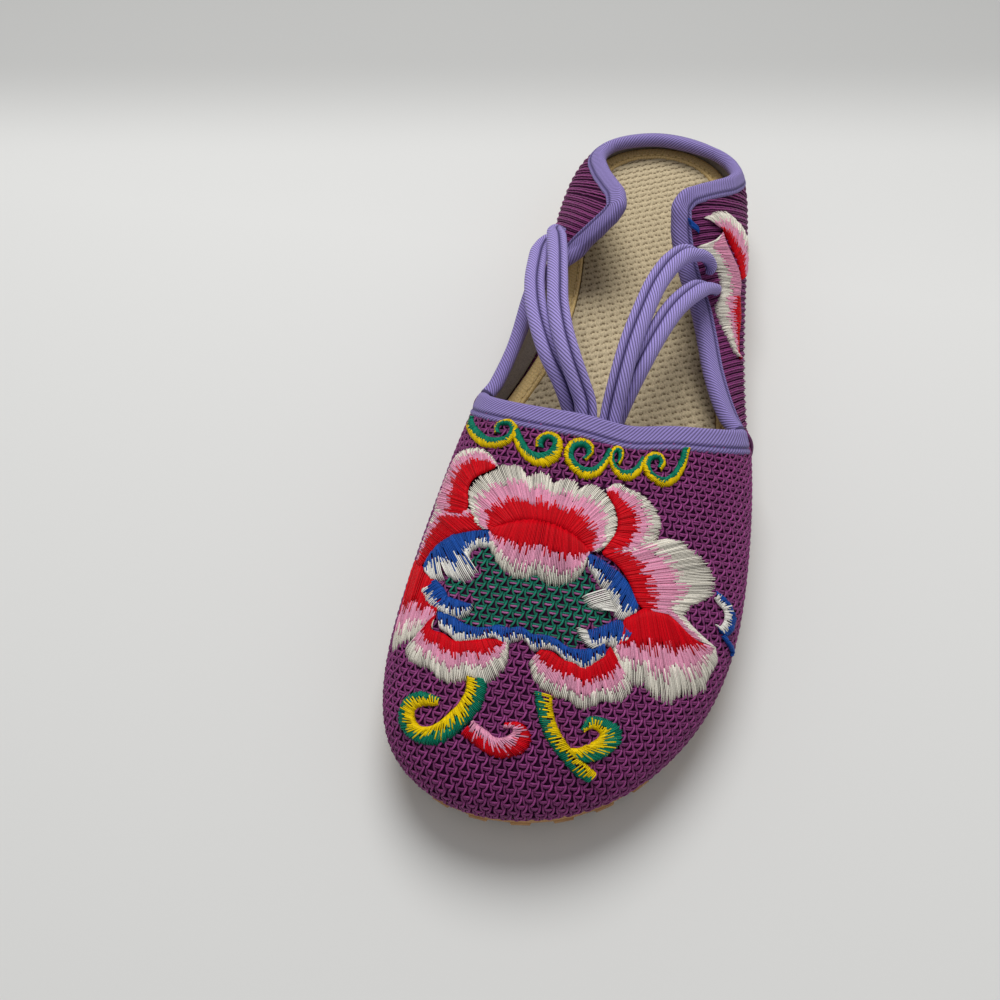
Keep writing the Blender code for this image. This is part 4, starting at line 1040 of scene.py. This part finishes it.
wingPetals = [
    {"tones": bands("red", 0.25, "pink", 0.6, "cream"), "level": 0.2,
     "root": [(722, 232), (728, 244), (734, 257), (738, 268), (740, 280)],
     "tip": [(703, 218), (712, 214), (722, 212), (733, 219), (741, 228), (745, 238), (745, 256), (744, 268)]},
    {"tones": bands("pink", 0.52, "cream"), "level": 0.1,
     "root": [(721, 233), (727, 246), (733, 259), (738, 271), (740, 283), (739, 298)],
     "tip": [(714, 241), (697, 249), (706, 257), (712, 266), (718, 279), (719, 295)]},
    {"tones": bands("red", 0.32, "pink", 0.58, "cream"), "level": 0.1,
     "root": [(739, 298), (740, 318), (738, 335), (736, 357)],
     "tip": [(719, 296), (714, 309), (718, 322), (726, 339), (734, 356)]},
    {"tones": bands("blue"), "level": 0.0,
     "root": [(686, 218), (687, 222), (688, 226)],
     "tip": [(698, 229), (699, 231), (698, 233)]},
]


def rayTo(seen):
    # direction from the eye through a place in the frame
    f, half = viewSizes["focal"], viewSizes["frame"] / 2
    return viewRight * ((seen[..., :1] - half) / f) + viewUp * ((half - seen[..., 1:]) / f) + viewAhead


def vampUnder(seen):
    # where the ray through a place in the frame meets the vamp, by halving, and the vamp's normal there
    ray, highest, lowest, step = rayTo(seen), 62.0, 12.0, 0.3
    near, far = ((level - viewPlace[2]) / ray[..., 2] for level in (highest, lowest))
    for _ in range(18):
        middle = (near + far) / 2
        point = viewPlace + ray * middle[..., None]
        above = point[..., 2] > vampHeight(point[..., 0], point[..., 1])
        near, far = np.where(above, middle, near), np.where(above, far, middle)
    x, y = point[..., 0], point[..., 1]
    slopeX = (vampHeight(x + step, y) - vampHeight(x - step, y)) / (2 * step)
    slopeY = (vampHeight(x, y + step) - vampHeight(x, y - step)) / (2 * step)
    return point, unit(np.stack([-slopeX, -slopeY, np.ones_like(x)], -1))


def onVamp(seen):
    # places where the vamp turns away from the eye, or low on its arch, are drawn in to the flower's centre
    seen = np.array(seen)
    flat = seen.reshape(-1, 2)
    left = np.arange(len(flat))
    for _ in range(stitchSizes["pulls"]):
        point, normal = vampUnder(flat[left])
        away = -np.sum(normal * unit(rayTo(flat[left])), -1) < stitchSizes["faceLimit"]
        away |= point[:, 2] < widestHeight(point[:, 1]) + stitchSizes["lowLimit"] * ridgeRise(point[:, 1])
        left = left[away]
        flat[left] += stitchSizes["pullStep"] * unit(flowerCentre - flat[left])
    return vampUnder(seen)


def onWing(seen):
    # nearest of a fine grid of places on the outside wing as seen, then steps that close what is left
    startT, endT = (float(atSide(1, y)) for y in (98.0, 28.0))
    t, v = np.meshgrid(np.linspace(startT, endT, 160), np.linspace(0.05, 0.98, 90), indexing="ij")
    t, v = t.ravel(), v.ravel()
    spots = seenAt(upperAt(t, v))
    flat = seen.reshape(-1, 2)
    parts = np.array_split(flat, 40)
    best = np.concatenate([np.argmin(((part[:, None] - spots) ** 2).sum(-1), 1) for part in parts])
    t, v = t[best], v[best]
    stepT, stepV, mostT, mostV = 1e-4, 1e-3, 0.003, 0.03
    for _ in range(4):
        here = seenAt(upperAt(t, v))
        jt = (seenAt(upperAt(t + stepT, v)) - here) / stepT
        jv = (seenAt(upperAt(t, v + stepV)) - here) / stepV
        miss = flat - here
        det = jt[:, 0] * jv[:, 1] - jt[:, 1] * jv[:, 0]
        det = np.where(np.abs(det) < 1e2, 1e9, det)  # no step where the wing is seen edge on
        t = t + np.clip((miss[:, 0] * jv[:, 1] - miss[:, 1] * jv[:, 0]) / det, -mostT, mostT)
        v = v + np.clip((jt[:, 0] * miss[:, 1] - jt[:, 1] * miss[:, 0]) / det, -mostV, mostV)
        v = np.clip(v, 0.0, 1.0)
    point, _, _, normal = upperFrame(t, v)
    return point.reshape(seen.shape[:-1] + (3,)), normal.reshape(seen.shape[:-1] + (3,))


def stitchFields(name, fields, surface, rootHigh=0.0, jag=0.16):
    # threads ruled across each field in bands of colour whose ends are long and short by turns
    paths, normals, tints, widths = [], [], [], []
    fine, samples, sides = np.arange(stitchSizes["fine"]), stitchSizes["samples"], 4
    share = np.linspace(0, 1, samples)[None, :]
    for field in fields:
        ends = [openCurve(field[end], len(fine)) for end in ("root", "tip")]
        steps = [np.linalg.norm(np.diff(surface(line)[0], axis=0), axis=1) for line in ends]
        reached = np.concatenate([[0], np.cumsum(np.maximum(*steps))])
        count = max(int(reached[-1] / stitchSizes["pitch"]), 6)
        at = np.interp(np.linspace(0, reached[-1], count), reached, fine)
        root, tip = (readLine(at, fine, line) for line in ends)
        tip = tip + (tip - root) * (seeded.random((count, 1)) - 0.5) * stitchSizes["ragged"]
        reach, last = field.get("jag", jag), len(field["tones"]) - 1
        for index, (tone, low, high) in enumerate(field["tones"]):
            turns = (np.arange(count) % 2 - 0.5) * 0.6 + (seeded.random(count) - 0.5)
            more = (np.roll(np.arange(count), 3) % 3 - 1.0) * 0.35 + (seeded.random(count) - 0.5)
            start = low + (0.0 * more if index == 0 else reach * 0.4 * more - 0.05)
            stop = high + (0.0 * turns if index == last else reach * turns + 0.03)
            f = np.clip(start, 0, 0.96)[:, None] * (1 - share) + np.clip(stop, 0.04, 1)[:, None] * share
            point, normal = surface(root[:, None] + (tip - root)[:, None] * f[..., None])
            hump = 1 - np.abs(2 * f - 1) ** 6
            hump = np.where(f < 0.5, rootHigh + (1 - rootHigh) * hump, hump)
            jitter = seeded.random((count, 1)) * 0.24 - 0.05 * index
            up = stitchSizes["lift"] + (field["level"] + stitchSizes["pad"] + jitter) * hump
            paths.append(point + normal * up[..., None])
            normals.append(normal)
            shade = 0.74 + 0.4 * seeded.random((count, 1, 1))
            tints.append(np.repeat(linear(threadColours[tone]) * shade, samples, 1))
            thin = stitchSizes["thin"] * (1.0 if tone in ("cream", "white") else 0.4)
            wide = stitchSizes["wide"] * (1 - thin * seeded.random((count, 1)))
            widths.append(np.repeat(wide, samples, 1))
    path, normal, tint, wide = (np.concatenate(parts) for parts in (paths, normals, tints, widths))
    points = tubePoints(path, normal, wide, stitchSizes["high"], sides)
    makePiece(name, points, tubeQuads(len(path), samples, sides), satinYarn,
              tint=np.repeat(tint[:, :, None], sides, 2))


ribSquare = meshSizes["rib"] * np.cos(np.radians(meshSizes["lean"]))  # from rib to rib, square to them
makeMesh("vamp_mesh", meshSizes["row"], meshSizes["loose"], *vampChart(), vampYarns, underPetals,
         inFlowerMiddle)
makeMesh("side_mesh", ribSquare, meshSizes["ribLoose"], *sideChart(), sideYarns)
makeSideSeams()
print("mesh cloth ready")
stitchFields("petal_stitches", petals, onVamp, 0.7, 0.13)
stitchFields("leaf_stitches", leaves, onVamp, 0.5, 0.5)
stitchFields("scroll_stitches", scrolls, onVamp)
stitchFields("wing_stitches", wingPetals, onWing)
print("embroidery ready")


# Bindings: bias twill folded over the top edge, with a stitched groove near the lower edge of each leg

# tape and cord are the cloth's dye; seam is painted shade laid in the sewn groove and in the cord's crease
tapeSizes = {"throatWidth": 6.0, "collarWidth": 4.6, "proud": 1.05, "groove": 0.42, "grooveAt": 0.72,
             "grooveWide": 0.38, "foldShare": 0.75, "legs": 10, "cell": 0.4,
             "tape": "#9787c8", "cord": "#a999dd", "seam": "#33265f"}


def tapeTint(groove, dye):
    # dyed cloth with painted shade, darkest in the sewn groove
    tone = linear(tapeSizes[dye])
    return tone + (linear(tapeSizes["seam"]) - tone) * np.clip(groove, 0, 1)[..., None]


def tubeUv(points, run, over):
    # quads of a closed tube, and the lengths along and over it at their corners; none across its ends
    quads, uv = closedTube(points), gridUv(run, over)
    uv = np.concatenate([uv, np.zeros((len(quads) - len(uv), 4, 2))])
    turned = quads[0, 0] != 0
    return quads, (uv[:, ::-1] if turned else uv).reshape(-1, 2)


def makeTape(name, t, width, node):
    # legs on both faces of the upper and a round fold over its edge, carried along the edge
    strip, normal, inward = stripFromEdge(t, width, tapeSizes["legs"])
    proud, wall, bare = tapeSizes["proud"], lastSizes["wall"], 0.02
    d = np.linspace(1, 0, tapeSizes["legs"] + 1)
    groove = np.exp(-(((d - tapeSizes["grooveAt"]) * width / tapeSizes["grooveWide"]) ** 2))
    raised = proud * np.minimum(1, np.sqrt(np.clip((1 - d) / 0.12, 0, 1)) * 0.55 + 0.45)
    raised = (raised - tapeSizes["groove"] * groove)[None, :, None]
    outLeg = strip[:, ::-1] + normal[:, ::-1] * raised
    innLeg = strip - normal * (wall + raised[:, ::-1])
    turn = np.linspace(0, np.pi, 9)[1:-1][None, :, None]
    radius = proud + wall / 2
    centre = (strip[:, 0] - normal[:, 0] * wall / 2)[:, None]
    fold = centre + normal[:, :1] * np.cos(turn) * radius
    fold = fold - inward[:, None] * np.sin(turn) * radius * tapeSizes["foldShare"]
    underOut, underIn = (strip[:, -1:] + normal[:, -1:] * level for level in (bare, bare - wall))
    section = np.concatenate([underOut, outLeg, fold, innLeg, underIn], 1)
    # painted shade: the groove's share darkens the tint towards the seam colour on both legs
    grooveShades = np.concatenate([[0], groove, np.zeros(turn.size), groove[::-1], [0]])
    over = lengthAlong(section[len(t) // 2])
    fine = np.linspace(0, over[-1], int(over[-1] / tapeSizes["cell"]))
    section = np.stack([readLine(fine, over, ring) for ring in section])
    tint = np.tile(tapeTint(np.interp(fine, over, grooveShades), "tape"), (len(t), 1))
    quads, uv = tubeUv(section, lengthAlong(strip[:, 0]), np.concatenate([fine, [fine[-1] + wall]]))
    makePiece(name, section, quads, tapeTwill, uv=uv, tint=tint, stands=(node,))


throatT = cornerT[0] + np.linspace(0.012, 0.988, 240) * (cornerT[1] - cornerT[0])
collarT = np.linspace(cornerT[1] + 0.0035, cornerT[0] + 0.9965, 700)
makeTape("throat_tape", throatT, tapeSizes["throatWidth"], "throat_binding")
makeTape("collar_tape", collarT, tapeSizes["collarWidth"], "collar_binding")
print("bindings ready")


# Straps: covered cords with a sewn flange on the side of the foot's middle

cordSizes = {"radius": 2.25, "back": 0.46, "pinch": 0.74, "pinchOver": (8, 20), "flangeOver": (5, 12),
             "step": 0.6, "sagShare": 0.8, "tilt": 0.55}
cordRoutes = {
    "strap_outside_upper": [
        (3.0, -34.0, 35.6), (3.0, -26.0, 36.3), (3.0, -20.0, 38.0), (3.1, -15.0, 40.8), (3.7, -9.8, 44.6),
        (5.0, 0.5, 48.8), (7.2, 12.6, 50.2), (10.0, 26.0, 49.0), (13.6, 36.6, 46.6), (17.6, 44.0, 43.2),
        (21.4, 47.2, 39.9), (24.0, 48.4, 36.2), (24.8, 48.8, 33.4), (23.6, 49.0, 31.0), (21.0, 49.6, 29.0)],
    "strap_outside_lower": [
        (2.4, -34.0, 30.0), (2.4, -26.0, 30.4), (2.8, -20.0, 32.0), (3.8, -14.6, 35.2), (5.9, -8.6, 40.0),
        (8.8, -1.0, 44.6), (12.2, 9.5, 46.2), (15.9, 20.5, 44.6), (19.9, 29.6, 41.4), (23.2, 36.2, 37.6),
        (26.0, 40.7, 33.4), (27.2, 43.0, 30.4), (25.9, 43.7, 27.9), (23.2, 44.3, 25.2)],
    "strap_inside_upper": [
        (-3.2, -34.0, 35.6), (-3.2, -26.0, 36.3), (-3.3, -20.0, 38.2), (-4.3, -15.2, 41.6),
        (-6.9, -11.0, 45.2), (-9.8, -6.4, 48.2), (-13.2, 0.8, 49.8), (-16.2, 10.5, 49.0), (-19.0, 26.0, 45.0),
        (-21.6, 41.6, 40.0), (-23.6, 51.5, 36.0), (-24.9, 57.0, 33.0), (-24.2, 59.8, 31.0),
        (-21.8, 60.4, 29.2), (-18.0, 60.5, 26.4)],
    "strap_inside_lower": [
        (-5.4, -34.0, 30.0), (-5.4, -26.0, 30.6), (-5.8, -20.0, 32.4), (-7.6, -14.5, 35.8),
        (-11.1, -9.0, 40.4), (-16.4, -2.2, 44.5), (-21.7, 9.5, 44.8), (-25.8, 25.2, 40.8),
        (-27.8, 41.0, 34.8), (-28.4, 51.6, 30.2), (-27.9, 57.0, 27.8), (-27.0, 59.6, 26.4),
        (-24.4, 60.3, 24.8), (-20.4, 60.6, 22.6)],
}


def cordSection():
    # circle open on one side, with a flat flange there: u across the foot, w up, in radii, and the share of
    # painted shade in the groove
    turn = np.radians(np.linspace(32, 328, 29))
    half = np.array([(0.90, -0.28, 1.0), (1.14, -0.42, 0.35), (1.48, -0.43, 0.0), (1.78, -0.3, 0.0)])
    tip = np.array([(1.9, 0.0, 0.0)])
    roll = np.stack([np.cos(turn), np.sin(turn), 0.55 * (np.abs(turn - np.pi) > np.radians(140))], -1)
    return np.concatenate([roll, half, tip, half[::-1] * np.array([1, -1, 1])])


def makeCord(name, route):
    # the section carried along the route, its flange to the middle of the foot, thinner where it is sewn in
    length = lengthAlong(np.array(route))[-1]
    line = openCurve(route, int(length / cordSizes["step"]))
    line[:, 2] -= cordSizes["sagShare"] * sagAt(line[:, 0], line[:, 1])
    ahead = unit(np.gradient(line, axis=0))
    inner = np.array([-1.0 if "outside" in name else 1.0, 0.0, cordSizes["tilt"]])
    side = unit(inner - ahead * (ahead @ inner)[:, None])
    over = np.cross(ahead, side)
    left = np.linspace(length, 0, len(line))
    full, flange = (alongTable(left, (0, *cordSizes[key]), (0, 0, 1)) for key in ("pinchOver", "flangeOver"))
    size = cordSizes["radius"] * (cordSizes["pinch"] + (1 - cordSizes["pinch"]) * full)
    section = cordSection()
    u = np.minimum(section[:, 0], 1.0) + np.maximum(section[:, 0] - 1.0, 0.0) * flange[:, None]
    u, w = (u - cordSizes["back"])[..., None], section[:, 1][None, :, None]
    points = line[:, None] + size[:, None, None] * (u * side[:, None] + w * over[:, None])
    around = lengthAlong(np.concatenate([section, section[:1]])[:, :2] * cordSizes["radius"])
    quads, uv = tubeUv(points, np.linspace(0, length, len(line)), around)
    # painted shade in the crease where the flange meets the roll
    tint = np.tile(tapeTint(section[:, 2], "cord"), (len(line), 1))
    makePiece(name + "_cord", points, quads, cordTwill, uv=uv, tint=tint, stands=(name,))


for cordName, cordRoute in cordRoutes.items():
    makeCord(cordName, cordRoute)
print("straps ready")


# Insole: basket weave with dashes of painted shade in the pits between its cells, and a tape sewn round it

insoleSizes = {
    "thick": 4.0, "clear": 0.6, "tapeWidth": 5.2, "edgeGap": 0.3, "proud": 0.4, "columns": 480, "across": 190,
    "row": 2.4, "cell": 2.7, "turn": 26.0, "relief": 0.3, "tapeRib": 1.3, "ribRelief": 0.05,
    "stitchPitch": 3.2, "stitchHalf": 1.15, "stitchIn": 1.25, "stitchThick": 0.24,
    # gap is painted shade: in the weave's pits, in the valleys between its rows, and on the slab's sides and
    # bottom
    "straw": "#cbba98", "gap": "#5a482e", "tape": "#f6da9b", "tapeShade": "#dfb974", "stitch": "#ecd094",
}


def makeInsole():
    # slab whose top is a fine grid across the foot: rows of low cosine ribs, with a pit at every cell between
    near = insoleSizes["clear"] + insoleSizes["tapeWidth"] + insoleSizes["edgeGap"]
    n, m = insoleSizes["columns"], insoleSizes["across"]
    t = np.linspace(0, roundShare[tipIndex], n + 2)[1:-1]
    out = insetPlan(t, np.full(n, near))
    inn = insetPlan(atSide(-1, outlineAt(t)[0][:, 1]), np.full(n, near))
    inn[:, 1] = np.clip(inn[:, 1], out[:, 1] - 6, out[:, 1] + 6)
    share = np.linspace(0, 1, m)[None, :, None]
    plan = out[:, None] * (1 - share) + inn[:, None] * share
    x, y = plan[..., 0], plan[..., 1]
    turn = np.radians(insoleSizes["turn"])
    along, across = x * np.cos(turn) + y * np.sin(turn), y * np.cos(turn) - x * np.sin(turn)
    row = np.floor(across / insoleSizes["row"])
    a = np.cos(2 * np.pi * (along / insoleSizes["cell"] + 0.5 * (row % 2)))
    b = np.cos(2 * np.pi * (across / insoleSizes["row"] - 0.5))
    bump = 0.5 + 0.5 * b
    dash = np.clip(1.5 * a, 0, 1) * np.clip(-1.6 * b - 0.2, 0, 1)
    top = soleTop(y) + insoleSizes["thick"] + insoleSizes["relief"] * (0.45 * (bump - 1) - 1.2 * dash)
    upper, lower = np.stack([x, y, top], -1), np.stack([x, y, soleTop(y)], -1)[:, ::m - 1]
    points = np.concatenate([upper.reshape(-1, 3), lower.reshape(-1, 3)])
    i, base = np.arange(n - 1), n * m
    j = i + 1
    rims = np.concatenate([
        np.stack([i * m, base + i * 2, base + j * 2, j * m], -1),
        np.stack([i * m + m - 1, j * m + m - 1, base + j * 2 + 1, base + i * 2 + 1], -1)])
    quads = np.concatenate([gridQuads(n, m), gridQuads(n, 2, flip=True) + base, rims])
    quads = faceOut(points, quads, points.mean(0))
    # painted shade: the tint darkened in the pits and a little in the valleys between the rows
    dark = np.clip(0.9 * dash + 0.14 * (1 - bump), 0, 1)[..., None]
    straw, gap = linear(insoleSizes["straw"]), linear(insoleSizes["gap"])
    tone = straw * (0.9 + 0.2 * seeded.random(x.shape + (1,)))
    tint = np.concatenate([(tone + (gap - tone) * dark).reshape(-1, 3), np.tile(gap, (2 * n, 1))])
    makePiece("insole_weave", points, quads, strawWeave, tint=tint, stands=("insole",))


def makeInsoleTape():
    # rounded band carried round the outline, ribbed across, with painted shade in the valleys of its ribs and
    # along its groove, and stitches in a groove near its inner edge
    count, samples = 900, 30
    t = evenRound(count)
    near = insoleSizes["clear"]
    far, top = near + insoleSizes["tapeWidth"], insoleSizes["thick"] + insoleSizes["proud"]
    sewn = far - insoleSizes["stitchIn"]
    knots = np.array([
        (near, 0.0), (near, top - 1.2), (near + 0.3, top - 0.4), (near + 1.0, top), (far - 1.6, top),
        (sewn, top - 0.25), (far - 0.9, top), (far - 0.25, top - 0.1), (far, top - 0.6), (far, 0.0)])
    over = lengthAlong(knots)
    fine = np.linspace(0, over[-1], samples)
    reach, height = readLine(fine, over, knots).T
    plan = np.stack([insetPlan(t, np.full(count, d)) for d in reach], 1)
    rib = np.cos(2 * np.pi * ((t * roundLength)[:, None] + 0.4 * fine[None, :]) / insoleSizes["tapeRib"])
    level = soleTop(plan[..., 1]) + height + insoleSizes["ribRelief"] * rib
    points = np.concatenate([plan, level[..., None]], -1)
    quads = gridQuads(count, samples, roundN=True, roundM=True)
    quads = faceOut(points.reshape(-1, 3), quads, np.array([0, 0, 12.0]))
    seam = np.exp(-(((reach - sewn) / 0.3) ** 2))[None, :, None]
    # painted shade: the darker tape colour in the rib valleys, and darker still along the sewn groove
    light, deep = linear(insoleSizes["tape"]), linear(insoleSizes["tapeShade"])
    tone = deep + (light - deep) * (0.65 + 0.35 * rib)[..., None]
    tone = tone + (deep * 0.6 - tone) * seam
    makePiece("insole_tape", points, quads, tanTape, tint=tone, stands=("insole_binding",))
    # stitches: short humped threads laid in the groove
    stitches = int(roundLength / insoleSizes["stitchPitch"])
    start = (np.arange(stitches) + 0.5) / stitches
    f = np.linspace(-1, 1, 5)
    at = (start[:, None] + f[None, :] * insoleSizes["stitchHalf"] / roundLength) % 1.0
    plan = insetPlan(at, sewn)
    z = soleTop(plan[..., 1]) + top - 0.2 + 0.3 * (1 - f**2)[None, :]
    path = np.concatenate([plan, z[..., None]], -1)
    thick, sides = insoleSizes["stitchThick"], 6
    rings = tubePoints(path, np.broadcast_to(np.array([0, 0, 1.0]), path.shape), thick, thick, sides)
    makePiece("insole_stitches", rings, tubeQuads(stitches, len(f), sides), sewingThread,
              tint=insoleSizes["stitch"])


makeInsole()
makeInsoleTape()
print("insole ready")


# Sole: the moulded rubber keeps the solid's own lugs and steps

soleSizes = {"gum": "#b98a56", "gumDeep": "#9c6d3b"}
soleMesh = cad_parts["outsole"].data
soleMesh.materials.clear()
soleMesh.materials.append(rubberMaterial("moulded gum rubber, matt", soleSizes["gum"], soleSizes["gumDeep"]))
print("sole ready")
